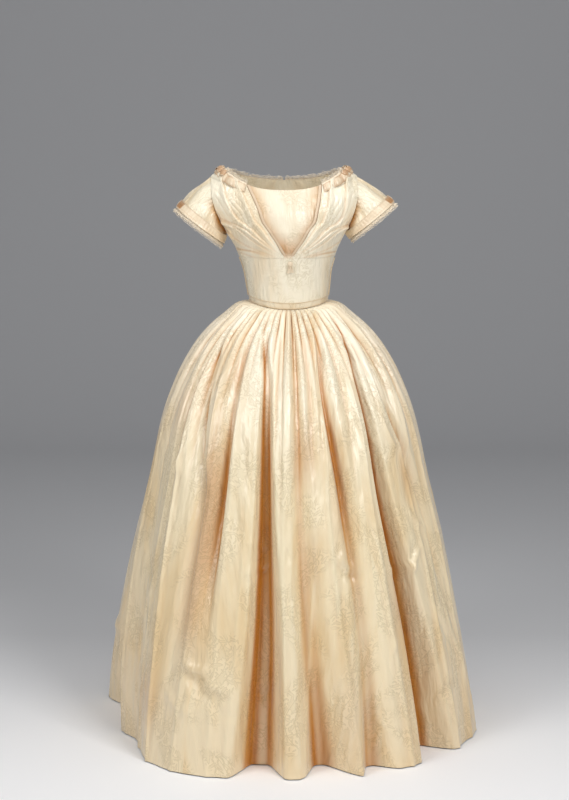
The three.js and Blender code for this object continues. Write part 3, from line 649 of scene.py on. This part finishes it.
def make_skirt():
    names = ["back", "back_right", "front_right", "front", "front_left", "back_left"]
    rows_z = np.concatenate([
        np.linspace(0, -60, 16)[:-1], np.linspace(-60, -300, 34)[:-1], np.linspace(-300, HEM_Z, 80)])
    dense, columns = 600, 141
    angles = -210 + 360 * np.arange(6 * dense + 1) / (6 * dense)
    profile = lengths(np.column_stack([side_at(rows_z), rows_z]))
    grid, shade, place, turn, middles = [], [], [], [], []
    for k, z in enumerate(rows_z):
        # hollow is the painted shade of each point, from skirt_ring.
        points, hollow = skirt_ring(angles[:-1], z)
        points, hollow = np.vstack([points, points[:1]]), np.append(hollow, hollow[0])
        arc = lengths(points)
        middles.append(arc[dense // 2 : -1 : dense])
        spots = []
        for first in range(0, 6 * dense, dense):
            part = arc[first : first + dense + 1]
            share = 0.4 * np.linspace(0, 1, dense + 1) + 0.6 * (part - part[0]) / (part[-1] - part[0])
            evenly = np.interp(np.linspace(0, 1, columns), share, np.arange(dense + 1))
            spots.append(first + evenly[:-1])
        spots = np.concatenate([*spots, [6.0 * dense]])
        index = np.arange(6 * dense + 1)
        grid.append(np.column_stack([np.interp(spots, index, points[:, c]) for c in range(3)]))
        shade.append(np.interp(spots, index, hollow))
        turn.append(np.interp(spots, index, angles))
        place.append(np.column_stack([np.interp(spots, index, arc), np.full(len(spots), -profile[k])]))
    grid, shade, place, turn, middles = [np.array(a)[::-1] for a in (grid, shade, place, turn, middles)]
    height = np.broadcast_to(rows_z[::-1, None], turn.shape)
    flat = grid[..., :2] / np.linalg.norm(grid[..., :2], axis=-1, keepdims=True)
    grid[..., :2] += flat * crease_height(turn, height)[..., None]
    normals = closed_ring(grid_normals(grid[:, :-1], True))
    pattern_step = 930  # moves the pattern on from one width to the next
    for k, name in enumerate(names):
        part = slice(k * (columns - 1), (k + 1) * (columns - 1) + 1)
        width = place[:, part].copy()
        width[..., 0] += pattern_step * (k - 3) - middles[:, [k]]
        piece = shell(f"skirt_{name}_silk", grid[:, part], SILK_SKIRT, CLOTH, shade[:, part], width,
                      normals=normals[:, part])
        place_piece(piece, "silk_damask", f"skirt_{name}")


make_skirt()

# ---- bodice ----
bodice_side, bodice_front, bodice_back = columns_of(BODICE_SECTIONS)
arm_x, arm_z, arm_front, arm_back = columns_of(ARMHOLE)
centre_front, centre_back = columns_of(CENTRE_LINE)
edge_left, edge_right = columns_of(V_EDGE)
FRONT, BACK = -1, 1


def bodice_point(face, across, level):
    """Points of a bodice face. `across` runs from -1 at one side seam to 1 at the other, `level`
    from 0 at the waist to 1 at the underarm and on to 2 at the neckline."""
    across, level = np.broadcast_arrays(np.asarray(across, float), np.asarray(level, float))
    turn = np.radians(90 * across)
    sin, cos = np.sin(turn), np.cos(turn)
    z = level * UNDERARM_Z
    is_front = face == FRONT
    low_depth = (bodice_front if is_front else bodice_back)(z)
    drop = dip(90 * across, z) if is_front else 0
    low = xyz(bodice_side(z) * sin, face * low_depth * cos, z + drop)
    rise = np.clip(level - 1, 0, 1)
    base, top, neck = (117, 88, NECK_FRONT_Z) if is_front else (98, 75, NECK_BACK_Z)
    climb = np.abs(sin) ** NECK_CURVE
    at_side = np.abs(across) ** 2.5
    straight_x, straight_z = lerp(140, NECK_HALF_WIDTH, rise), lerp(UNDERARM_Z, NECK_SIDE_Z, rise)
    x = straight_x * np.abs(sin) + at_side * (arm_x(rise) - straight_x)
    extra = (centre_front if is_front else centre_back)(rise) - lerp(base, top, rise)
    edge = (arm_front if is_front else arm_back)(rise)
    depth = lerp(base, top, rise) * cos + (1 - at_side) * extra + at_side * edge
    neck_z = lerp(neck, NECK_SIDE_Z, climb)
    height = lerp(UNDERARM_Z, neck_z, rise) + at_side * (arm_z(rise) - straight_z)
    high = xyz(np.sign(across) * x, face * depth, height)
    return lean(np.where((level <= 1)[..., None], low, high))


def over_bodice(face, across, level, out):
    """Points a given height off the bodice, along its normals."""
    def beside(right, up):
        return bodice_point(face, np.clip(across + right, -1, 1), np.clip(level + up, 0, 2))

    small = 0.01
    sideways, upwards = beside(small, 0) - beside(-small, 0), beside(0, small) - beside(0, -small)
    normals = unit(np.cross(sideways, upwards) * -face)
    return bodice_point(face, across, level) + normals * np.asarray(out)[..., None]


def edge_across(side, level, inset):
    """The `across` of the V's edge at each level, moved towards centre front."""
    level = np.asarray(level, float)
    across = np.full(level.shape, 0.4 * side)
    for _ in range(12):
        point = bodice_point(FRONT, across, level)
        target = side * ((edge_left if side > 0 else edge_right)(point[..., 2]) - inset)
        target -= LEAN * np.maximum(0, point[..., 2] / NECK_FRONT_Z)
        slope = (bodice_point(FRONT, across + 0.01, level)[..., 0] - point[..., 0]) / 0.01
        across = across + (target - point[..., 0]) / slope
    return across


def level_rows(count):
    """Levels from the waistband to the neckline."""
    low = np.linspace((BAND_HEIGHT + SEAM_GAP) / UNDERARM_Z, 1, count // 2, endpoint=False)
    return np.concatenate([low, np.linspace(1, 2, count - count // 2)])


def bodice_relief(points):
    """Wrinkles of the plain front: bowed ones above the V's point, long soft ones at the waist,
    and upright hollows below the bust."""
    x, z = points[..., 0], points[..., 2]
    total = -0.8 * np.exp(-((x + 2) ** 2) / 1.6) * smooth((z - 100) / 20)  # centre front seam
    for middle, high in ((128, 1.3), (136, 1.6), (146, 1.1), (158, 0.7)):
        total += high * bell(z - middle + 0.006 * x**2, 2.6) * bell(x, 22)
    for start, end, place, high, wide in (
        (-70, -18, 60, 0.9, 5), (-60, 10, 46, 0.8, 4), (14, 74, 52, 1.0, 5), (4, 62, 70, 0.9, 4),
        (-52, -4, 78, 0.8, 4), (20, 80, 86, 0.8, 4), (-80, -30, 30, 0.7, 4), (-10, 50, 28, 0.8, 5)):
        ends = smooth((x - start) / 20) * smooth((end - x) / 20)
        total += high * bell(z - place - 0.10 * (x - start), wide) * ends
    for place, high in ((-66, 0.7), (-48, 0.6), (-33, 0.5), (28, 0.5), (44, 0.6), (63, 0.7)):
        total -= high * bell(x - place * (0.75 + z / 380), 1.6) * smooth((104 - z) / 30)
    return total


def make_bodice():
    levels = level_rows(100)[:, None]
    across = np.linspace(-1, 1, 121)[None]
    points = bodice_point(FRONT, across, levels)
    points = over_bodice(FRONT, across, levels, bodice_relief(points))
    aside, z = np.abs(points[..., 0] + 4), points[..., 2]
    # Painted shade on the plastron: above the V's point, faintly over the whole V, and along the V's edges
    # under the drapes.
    painted_bodice_shade = 0.38 * bell(z - 128, 26) * smooth((26 - aside) / 22) * smooth((z - 98) / 12)
    inside = (across > edge_across(-1, levels, 0)) & (across < edge_across(1, levels, 0))
    painted_bodice_shade += 0.04 * inside * smooth((z - 104) / 30)
    beside = np.minimum(*[np.abs(across - edge_across(side, levels, 4)) for _, side in SIDES])
    painted_bodice_shade += 0.5 * bell(beside, 0.10) * smooth((levels * UNDERARM_Z - 104) / 20)
    piece = shell("bodice_front_silk", points, SILK_BODICE, CLOTH, np.clip(painted_bodice_shade, 0, 1))
    place_piece(piece, "silk_damask", "bodice_front")
    for word, side in SIDES:
        across = np.linspace(side, 0, 61)[None]
        darts = bell(np.abs(across) - 0.34, 0.012) + bell(np.abs(across) - 0.6, 0.012)
        darts = -0.7 * darts * smooth((150 - levels * UNDERARM_Z) / 60)
        points = over_bodice(BACK, across, levels, darts)
        piece = shell(f"bodice_back_{word}_silk", points, SILK_BODICE, CLOTH, outward=side)
        place_piece(piece, "silk_damask", f"bodice_back_{word}")


# Pleats of the draped fronts fan out from the V's point: the direction of each above level, where
# the V's own edge counts as 60 degrees, and its height.
V_TURN = 60
PLEATS = [
    (-13, 1.6), (-6, 2.0), (0, 2.2), (6, 2.4), (12, 2.5), (18, 2.8), (24, 3.2), (30.5, 3.6),
    (37.5, 4.0), (45, 4.4), (53, 4.8)]


def pleat_relief(side, points, share):
    """Height of the pleats, and the painted shade between them."""
    x = side * (points[..., 0] + LEAN * points[..., 2] / NECK_FRONT_Z)
    z = points[..., 2] - 96
    edge_x = (edge_left if side > 0 else edge_right)(points[..., 2])
    v_turn = np.degrees(np.arctan2(np.maximum(z, 4), edge_x + 3))
    angle = np.degrees(np.arctan2(z, x + 3)) * V_TURN / v_turn
    far = np.hypot(x, z)
    grow = smooth((far - 14) / 60)
    total, deep = np.zeros_like(x), np.zeros_like(x)
    for k, (place, high) in enumerate(PLEATS):
        bend = (3.2 * np.sin(far / 55 + 1.7 * k) + 1.6 * np.sin(far / 21 + k)) * smooth((70 - place) / 30)
        gap = (angle - place - bend) * np.pi / 180 * far
        total += high * grow * bell(gap, np.where(gap < 0, 8.5, 1.9))
        # deep: painted shade just beside each pleat, and in the fine troughs further on.
        deep += 0.30 * grow * bell(gap - 3.0, 2.0)
    sway = 1.6 * np.sin(far / 34 + 0.12 * angle) + 0.9 * np.sin(far / 13)
    fine = rib(2 * np.pi * (angle + 0.8 * sway) / 2.9)
    soft = smooth((far - 40) / 60) * (0.55 + 0.45 * np.sin(angle / 4.1 + far / 50))
    total += 0.55 * soft * fine
    deep += 0.22 * soft * smooth(-fine - 0.2)
    edge = smooth(share / 0.02) * smooth((1 - share) / 0.16)
    return total * edge, deep * edge


def front_place(across, levels):
    """Flat coordinates on the bodice front's own cloth, so that the pattern runs on."""
    columns = np.linspace(-1, 1, 121)
    arcs = lengths(bodice_point(FRONT, columns[None], levels), 1)
    arcs -= arcs[:, [60]]
    rows = level_rows(100)
    up = lengths(bodice_point(FRONT, columns[None], rows[:, None]), 0).mean(1)
    u = np.stack([np.interp(spots, columns, arc) for spots, arc in zip(across, arcs)])
    return np.stack([u, np.broadcast_to(np.interp(levels, rows, up), u.shape)], -1)


def make_drapes():
    levels = np.concatenate([np.linspace(DRAPE_LOW, 1, 26, endpoint=False), np.linspace(1, 2, 74)])[:, None]
    height = (levels - DRAPE_LOW) / (2 - DRAPE_LOW)
    share = np.linspace(0, 1, 101)[None]
    low_lift = 0.9
    for word, side in SIDES:
        spread = share ** lerp(1.5, 1, height**0.6)
        across = lerp(edge_across(side, levels, 0), side * DRAPE_END, spread)
        flat = bodice_point(FRONT, across, levels)
        relief, deep = pleat_relief(side, flat, share)
        settle = smooth(height / 0.26)
        lift = lerp(low_lift, SILK / 2 + LAID_GAP + DRAPE / 2, settle) + relief * (0.25 + 0.75 * settle)
        points = over_bodice(FRONT, across, levels, lift)
        piece = shell(f"drape_{word}_silk", points, SILK_BODICE, CLOTH, np.clip(deep, 0, 0.8),
                      front_place(across, levels), outward=side)
        place_piece(piece, "silk_damask", f"drape_{word}")


def make_trims():
    for word, side in SIDES:
        levels = np.linspace(116 / UNDERARM_Z, 2, 260)
        inset = np.linspace(8, 1.2, 7)[:, None]
        across = np.stack([edge_across(side, levels, k) for k in inset[:, 0]])
        base = bodice_point(FRONT, across, levels)
        run = lengths(base[3])
        band = np.abs(np.sin(np.pi * run / 3.2))[None] * np.array([0, 0.9, 0.2, 0.9, 0.2, 1.0, 0])[:, None]
        points = over_bodice(FRONT, across, levels, TRIM_MIDDLE + band)
        points = np.transpose(points, (1, 0, 2))
        # Painted shade on the gimp: dark in its troughs and at its two edges, light on its raised rows.
        painted_shade = np.broadcast_to(np.array([0.7, 0.1, 0.5, 0.1, 0.5, 0.2, 0.9]), points.shape[:2])
        piece = shell(f"v_trim_{word}_gimp", points, SATIN, 0.6, painted_shade, outward=-side)
        place_piece(piece, "piping", f"v_trim_{word}")
        cords = []
        for place in (0.945, 0.975):
            level = np.linspace((BAND_HEIGHT + 1) / UNDERARM_Z, DRAPE_LOW - 0.02, 60)
            wobble = 0.5 * np.abs(np.sin(np.arange(60) * np.pi / 2))
            cords.append(over_bodice(FRONT, side * place, level, 1.6 + wobble))
        piece = tubes(f"side_piping_{word}_cord", cords, 1.2, PIPING, 6)
        place_piece(piece, "piping", f"side_piping_{word}")


make_bodice()
make_drapes()
make_trims()


# ---- waist ----
def waist_points(angle, height, out):
    turn = np.radians(angle)
    side = bodice_side(height) + out
    reach = np.where(np.cos(turn) > 0, bodice_front(height), bodice_back(height)) + out
    z = height + dip(angle, height)
    return xyz(side * np.sin(turn), -reach * np.cos(turn), z)


def make_waist():
    """The waistband, and two rows of twisted piping along its seams."""
    angles = np.arange(180) * 2.0
    height = np.linspace(0, BAND_HEIGHT, 9)[:, None]
    share = height / BAND_HEIGHT
    swell = 0.5 * np.sin(np.pi * share) + 1.05 * np.sin(np.radians(angles) * 37) * share * (1 - share)
    points = waist_points(angles[None], height, swell)
    piece = shell("waistband_silk", points, SILK_BODICE, CLOTH, np.full(points.shape[:2], 0.10), ring=True)
    place_piece(piece, "silk_damask", "waistband")
    steps = np.arange(540)
    twist = 0.22 * np.cos(steps * 2 * np.pi / 3)
    ropes = [waist_points(steps * 2 / 3, low + twist, out) for low, out in ((1.4, 2.1), (12.6, 1.2))]
    piece = tubes("waist_piping_cord", ropes, 1.0, PIPING, 6, closed=True)
    place_piece(piece, "piping", "waist_piping")


make_waist()


# ---- neck trims ----
def neck_run(side):
    """(face, across) places along half of the neckline, from the V's edge to centre back."""
    front = np.linspace(float(edge_across(side, 2, 0)), side, 90)
    back = np.linspace(side, 0.01 * side, 130)[1:]
    return [(FRONT, a) for a in front] + [(BACK, a) for a in back]


def neck_point(spot, down, out):
    """A point a given length below the neckline, lifted off the bodice."""
    face, across = spot
    levels = np.linspace(2, 1.45, 56)
    line = bodice_point(face, across, levels)
    level = np.interp(down, lengths(line), levels)
    return over_bodice(face, across, level, out)


def make_neck():
    for word, side in SIDES:
        run = neck_run(side)
        edge = np.array([bodice_point(*spot, 2) for spot in run])
        along = lengths(edge)
        width = np.linspace(0, 1, 13)
        puff_size = 27.0
        number = (along // puff_size).astype(int)
        tall = rng.uniform(0.75, 1.25, number.max() + 1)[number]
        swell = 0.25 + 0.75 * np.abs(np.sin(np.pi * (along / puff_size + 0.12 * np.sin(along / 31)))) ** 0.8
        base = TRIM_MIDDLE + DRAPE + LAID_GAP
        points, painted_shade = [], []
        for spot, s, a, t in zip(run, swell, along, tall):
            shrink = 0.74 + 0.26 * s
            down = 1 + NECK_RIBBON_WIDTH * (0.5 + (width - 0.5) * shrink)
            crown = np.sin(np.pi * width) ** 0.6
            ruck = 0.7 * np.sin(a / 1.15 + 3 * width) * crown * (1 - 0.6 * s)
            rim = 0.8 * (bell(width, 0.07) + bell(1 - width, 0.07))
            points.append(neck_point(spot, down, base + 3.4 * t * s * crown + ruck + rim))
            # Painted shade: dark between the puffs and towards the ribbon's edges, light on each puff's
            # crown, and more on taller puffs.
            painted_shade.append(np.clip(0.62 - 0.60 * s * crown + 0.5 * (t - 1), 0, 1))
        points = np.transpose(np.array(points), (1, 0, 2))[::-1]
        painted_shade = np.array(painted_shade).T[::-1]
        piece = shell(f"neck_ribbon_{word}_satin", points, SATIN, TRIM_CLOTH, painted_shade, outward=side)
        place_piece(piece, "satin_ribbon", f"neck_ribbon_{word}")
        loops = ribbon_loops(word, run, along, base)
        below = np.array([bodice_point(*spot, 1.95) for spot in run])
        make_neck_lace(word, side, edge, below)


def ribbon_loops(word, run, along, base):
    """Standing loops of the same ribbon on the shoulder."""
    front_end = next(k for k, (face, _) in enumerate(run) if face == BACK)
    vertices, faces, uvs, folds, offset = [], [], [], [], 0
    for place, tall, turn in ((-32, 7, 0.5), (-15, 8, 0.2), (3, 8.5, 0.6), (21, 8, 0.3), (38, 7, 0.5)):
        k = int(np.argmin(np.abs(along - along[front_end] - place)))
        low, high, next_one = [
            neck_point(run[at], 7, lift) for at, lift in ((k, base), (k, base + 1), (k + 1, base))]
        out, along_neck = high - low, unit(next_one - low)
        aside = np.cross(out, along_neck)
        ahead = along_neck * math.cos(turn) + aside * math.sin(turn)
        across = aside * math.cos(turn) - along_neck * math.sin(turn)
        bend = np.linspace(-0.9, 1.05, 22) * math.pi
        x, y = 1.15 * tall * np.sin(bend) * (1 - 0.15 * np.cos(bend)), tall * (1 + np.cos(bend)) / 2
        wide = np.linspace(-9, 9, 9)[:, None]
        flare = 1 + 0.12 * np.cos(wide / 9 * math.pi)
        grid = low + (x * flare)[..., None] * ahead + (y * flare)[..., None] * out
        grid = grid + wide[..., None] * across
        rows, cols = grid.shape[:2]
        i, j = squares(rows - 1, cols - 1)
        face = np.stack([i * cols + j, i * cols + j + 1, (i + 1) * cols + j + 1, (i + 1) * cols + j], 1)
        vertices.append(grid.reshape(-1, 3))
        faces.append(face + offset)
        uvs.append(cloth_place(grid).reshape(-1, 2)[face].reshape(-1, 2))
        # Painted shade over each loop but its two edge rows.
        folds.append(np.repeat(np.where(np.abs(wide[:, 0]) > 8, 0.0, 0.7), cols))
        offset += rows * cols
    piece = new_piece(f"neck_ribbon_{word}_loops", np.concatenate(vertices), np.concatenate(faces), SATIN,
                      uv=np.concatenate(uvs), painted_shade=np.concatenate(folds))
    piece.modifiers.new("thickness", "SOLIDIFY").thickness = 0.0005
    return place_piece(piece, "satin_ribbon")


def lace_loops(base, up, out, along, reach):
    """Threads of a lace edge: two rows of small loops and a scalloped row of larger ones. `reach`
    gives the depth of the lace at each place."""
    paths = []
    total = along[-1]

    def at(s, height, lift):
        s = np.clip(s, 0, total)
        point, rise, away = [
            np.stack([np.interp(s, along, line[:, c]) for c in range(3)], -1) for line in (base, up, out)]
        return point + rise * height[..., None] + away * lift[..., None]

    turn = np.linspace(-2.2, 2.2, 9)
    fine, coarse = LACE_PITCH / 3, LACE_PITCH / 2.4
    rows = ((fine, 0.0, 0.42, 0.72), (fine, 0.3, 0.72, 0.72), (coarse, 0.6, 1.06, 0.8))
    for row, (step, low, tall, wide) in enumerate(rows):
        for k in range(int(total / step)):
            middle = (k + 0.5 + 0.5 * (row % 2)) * step
            depth = float(np.interp(middle, along, reach)) * rng.uniform(0.88, 1.15)
            s = middle + wide * step * np.sin(turn)
            height = depth * (low + (tall - low) * (1 + np.cos(turn)) / 2)
            paths.append(at(s, height, 1.3 * np.sin(turn * 1.3 + k) * rng.uniform(0.3, 1)))
    return paths


def add_lace(node, side, tape, rows, thickness):
    """A lace edge: a woven tape, and loops of thread that stand off it in rows."""
    piece = shell(f"{node}_tape", tape, LACE, TRIM_CLOTH, outward=side)
    place_piece(piece, "lace", node)
    loops = tubes(f"{node}_loops", sum([lace_loops(*row) for row in rows], []), thickness, LACE, 3)
    place_piece(loops, "lace")


def make_neck_lace(word, side, edge, below):
    up = unit(edge - below)
    out = unit(np.cross(np.gradient(edge, axis=0), up) * side)
    along = lengths(edge)
    rows = np.linspace(-3.5, 3.0, 5)[:, None, None]
    wave = 0.5 * np.sin(along / 1.4)[None, :, None]
    tape = edge[None] + up[None] * rows + out[None] * (0.6 + wave)
    reach = 8 + 1.6 * np.sin(along / 2.1) + 1.2 * np.sin(along / 5.3)
    rows = [(edge + up * 1.5, up, out, along, reach),
            (edge - up * 1.0, -up * 0.8 + out * 0.6, out, along, 0.8 * reach)]
    add_lace(f"neck_lace_{word}", side, tape, rows, 0.5)


make_neck()


# ---- sleeves ----
def sleeve_points(side, share, along):
    """`along` runs from 0 at the armhole to 1 at the hem, and past it."""
    share, along = np.broadcast_arrays(np.asarray(share, float), np.asarray(along, float))
    hx, hy, hz = SLEEVE_HEMS[side]
    turn = 2 * np.pi * share
    low = (1 - np.cos(turn)) / 2
    apart = SEAM_GAP + SILK * lerp(0.6, 1.1, low)
    place = (share % 1) * 14
    rise = np.interp(place, np.arange(15), ARM_RISES)
    at_front = (place <= 7)[..., None]
    seams = [bodice_point(face, side, 1 + rise) for face in (FRONT, BACK)]
    root = np.where(at_front, *seams) + xyz(side * 0.95 * apart, 0, -0.31 * apart)
    up = SLEEVE_HALF_HEIGHT * np.cos(turn)
    tilt = math.radians(SLEEVE_TILT)
    edge = lean(xyz(side * (hx + up * math.cos(tilt)), hy - SLEEVE_HALF_DEPTH * np.sin(turn),
                    hz + up * math.sin(tilt)))
    point = lerp(root, edge, along[..., None])
    puff = SLEEVE_PUFF * np.sin(np.pi * np.minimum(along, 1)) * (1 - 0.8 * low)
    return point + unit(point - np.array([side * hx, hy, hz])) * puff[..., None]


def make_sleeve(word, side):
    count = 168
    share = np.arange(count) / count
    length = np.linalg.norm(sleeve_points(side, share, 0.0) - sleeve_points(side, share, 1.0), axis=-1)
    along = np.linspace(-0.025, 1, 40)[:, None]
    flat = sleeve_points(side, share[None], along)
    normals = grid_normals(flat, True) * side
    turn = 2 * np.pi * share[None]
    head = bell(along, 0.25) * 1.3 * rib(34 * turn + 2 * np.sin(2 * turn))
    soft = 1.5 * np.sin(5 * turn + 5 * along + side) + 1.1 * np.sin(9 * turn - 7 * along)
    soft *= np.sin(np.pi * along)
    under = smooth((0.16 - np.abs(share - 0.5)) / 0.12)[None]
    tuck = -3.0 * under * bell(along - 0.45, 0.2)
    cloth = flat + normals * (head * 0.6 + soft + tuck + 0.4)[..., None]
    # Painted shade round the armhole but for its top, under the arm, and low on the sleeve's front and back
    # near the armhole.
    from_top = np.minimum(share, 1 - share)[None]
    painted_shade = 0.75 * bell(along, 0.22) * smooth((from_top - 0.10) / 0.14) + 0.4 * under * (1 - along)
    painted_shade += 0.7 * bell(np.abs(share - 0.5) - 0.12, 0.09)[None] * bell(along, 0.5)
    piece = shell(f"sleeve_{word}_silk", cloth, SILK_BODICE, CLOTH, np.clip(painted_shade, 0, 1), ring=True,
                  outward=side)
    place_piece(piece, "silk_damask", f"sleeve_{word}")

    width = np.minimum(SLEEVE_RIBBON_WIDTH, 0.8 * length)
    rows = np.linspace(1, 0, 15)[:, None]
    base = sleeve_points(side, share[None], 1 - (rows * width[None] + 1) / length[None])
    cord = bell(rows, 0.06) + bell(1 - rows, 0.06) + 0.7 * bell(rows - 0.16, 0.05)
    pucker = 0.5 * np.sin(46 * turn + 3 * rows) * np.sin(np.pi * rows)
    knot = 2.0 * bell(from_top, 0.03) * np.sin(np.pi * rows)
    lift = TRIM_MIDDLE + 1.2 + cord + pucker + knot
    band = base + grid_normals(base, True) * side * lift[..., None]
    # Painted reflection: a brownish patch on the ribbon near the top of the hem; painted shade in two lines
    # beside its cords.
    reflection_patch = 0.9 * smooth((0.042 - np.abs(share - 0.048)) / 0.01)[None] * np.sin(np.pi * rows) ** 0.4
    painted_shade = np.clip(reflection_patch + 0.35 * bell(rows - 0.26, 0.05) + 0.25 * bell(rows - 0.9, 0.05), 0, 1)
    piece = shell(f"sleeve_ribbon_{word}_satin", band, SATIN, TRIM_CLOTH, painted_shade, ring=True, outward=side)
    place_piece(piece, "satin_ribbon", f"sleeve_ribbon_{word}")

    fine = np.linspace(0, 1, 321)
    size = np.interp(fine, np.append(share, 1), np.append(length, length[0]))
    hem = sleeve_points(side, fine, 1 + 0.3 / size)
    down = unit(sleeve_points(side, fine, 1 + 5 / size) - hem)
    away = unit(np.cross(np.gradient(hem, axis=0), down))
    middle = np.array(SLEEVE_HEMS[side]) * [side, 1, 1]
    away *= np.sign(np.sum(away * (hem - middle), axis=1, keepdims=True))
    run = lengths(hem)
    scallop = np.abs(np.sin(np.pi * run / LACE_PITCH))
    rows = np.linspace(0, 1, 5)[:, None, None]
    deep = (4.5 + 3.0 * scallop)[None, :, None]
    wave = 0.6 * np.sin(run / 1.5)[None, :, None]
    tape = hem[None] + down[None] * rows * deep + away[None] * (0.4 + wave * rows)
    reach = 8.6 + 2.6 * scallop
    rows = [(hem, down, away, run, reach), (hem, down * 0.85 + away * 0.35, away, run, 0.8 * reach)]
    add_lace(f"sleeve_lace_{word}", side, tape, rows, 0.52)


make_sleeve("left", 1)
make_sleeve("right", -1)


# ---- bow ----
def make_bow():
    """A flat knot with two short ends at the V's point."""
    root = over_bodice(FRONT, 0.04, 93 / UNDERARM_Z, 3.4)
    parts = []
    for k, (tilt, length, wide) in enumerate(((-0.20, 20, 7.0), (0.22, 18, 7.0))):
        t = np.linspace(0, 1, 16)[:, None]
        w = np.linspace(-0.5, 0.5, 9)[None]
        x = (w * wide * (0.7 + 0.5 * t)) + length * t * math.sin(tilt)
        z = -length * t * math.cos(tilt) + 2.4 * (t > 0.99) * np.abs(w) * 2
        y = -1.2 + 1.4 * np.cos(w * math.pi * 2) * (1 - t) - 1.2 * np.sin(t * 5) * 0.6 + 4.0 * t
        grid = root + xyz(x, y, z)
        parts.append(shell(f"bow_end_{k}", grid, SATIN, TRIM_CLOTH, np.full(grid.shape[:2], 0.08)))
    turn = np.linspace(0, 2 * math.pi, 25)[:-1]
    tall = np.linspace(-1, 1, 9)[:, None]
    bulge = np.sqrt(np.maximum(0.02, 1 - tall**2 * 0.8))
    y = -1.0 - 2.6 * bulge * np.sin(turn)[None] + 0.4 * np.sin(3 * turn + 2 * tall)
    knot = root + xyz(5.6 * bulge * np.cos(turn)[None], y, 3.0 + 5.2 * tall)
    parts.append(shell("front_bow_satin", knot, SATIN, TRIM_CLOTH, np.full(knot.shape[:2], 0.1), ring=True))
    with bpy.context.temp_override(
            active_object=parts[-1], selected_editable_objects=parts, selected_objects=parts):
        bpy.ops.object.join()
    place_piece(parts[-1], "satin_ribbon", "front_bow")


make_bow()

# ---- stage ----
FLOOR_Z = -1.0465


def make_stage():
    radius, back, wide, tall = 2.2, 6.0, 9.0, 7.0
    bend = np.linspace(0, math.pi / 2, 24)
    curved = [(back - radius + radius * math.sin(b), radius - radius * math.cos(b)) for b in bend]
    line = [(-9.0, 0.0), *curved, (back, tall)]
    vertices = np.array([(x, y, FLOOR_Z + z) for y, z in line for x in (-wide, wide)]) / MM
    k = np.arange(len(line) - 1)
    faces = np.stack([2 * k, 2 * k + 1, 2 * k + 3, 2 * k + 2], 1)
    material, tree, shader = new_material("paper", Roughness=0.9, Specular_IOR_Level=0.1)
    _, y, _ = value(tree, "TexCoord", output="Object").xyz()
    # Painted shade: the paper is light at the front and greys towards the back, as the light falls off
    # behind the dress.
    painted_falloff = put(tree, "ValToRGB", {0: y.step_up(-0.7, 2.4)})
    colours = painted_falloff.color_ramp.elements
    colours[0].color, colours[1].color = srgb(251, 251, 252), srgb(200, 200, 201)
    colours.new(0.45).color = srgb(213, 213, 214)
    fill(shader, {"Base Color": Value(painted_falloff)})
    new_piece("paper_sweep", vertices, faces, material)


def add_light(name, place, target, size, power):
    light = bpy.data.lights.new(name, "AREA")
    light.shape, light.size, light.size_y = "RECTANGLE", size[0], size[1]
    light.energy = power
    lamp = bpy.data.objects.new(name, light)
    bpy.context.scene.collection.objects.link(lamp)
    lamp.location = place
    lamp.rotation_euler = (Vector(target) - Vector(place)).to_track_quat("-Z", "Y").to_euler()


make_stage()
add_light("key", (2.2, -3.4, 2.3), (0, 0, -0.3), (1.6, 2.0), 94)
add_light("fill", (-2.8, -3.0, 2.0), (0, 0, -0.3), (1.6, 2.2), 61)
add_light("top", (0, -0.9, 3.4), (0, 0.2, 0), (2.6, 2.0), 53)
world = bpy.data.worlds.new("studio")
bpy.context.scene.world = world
world.use_nodes = True
world.node_tree.nodes["Background"].inputs[0].default_value = srgb(205, 207, 212)
world.node_tree.nodes["Background"].inputs[1].default_value = 0.31
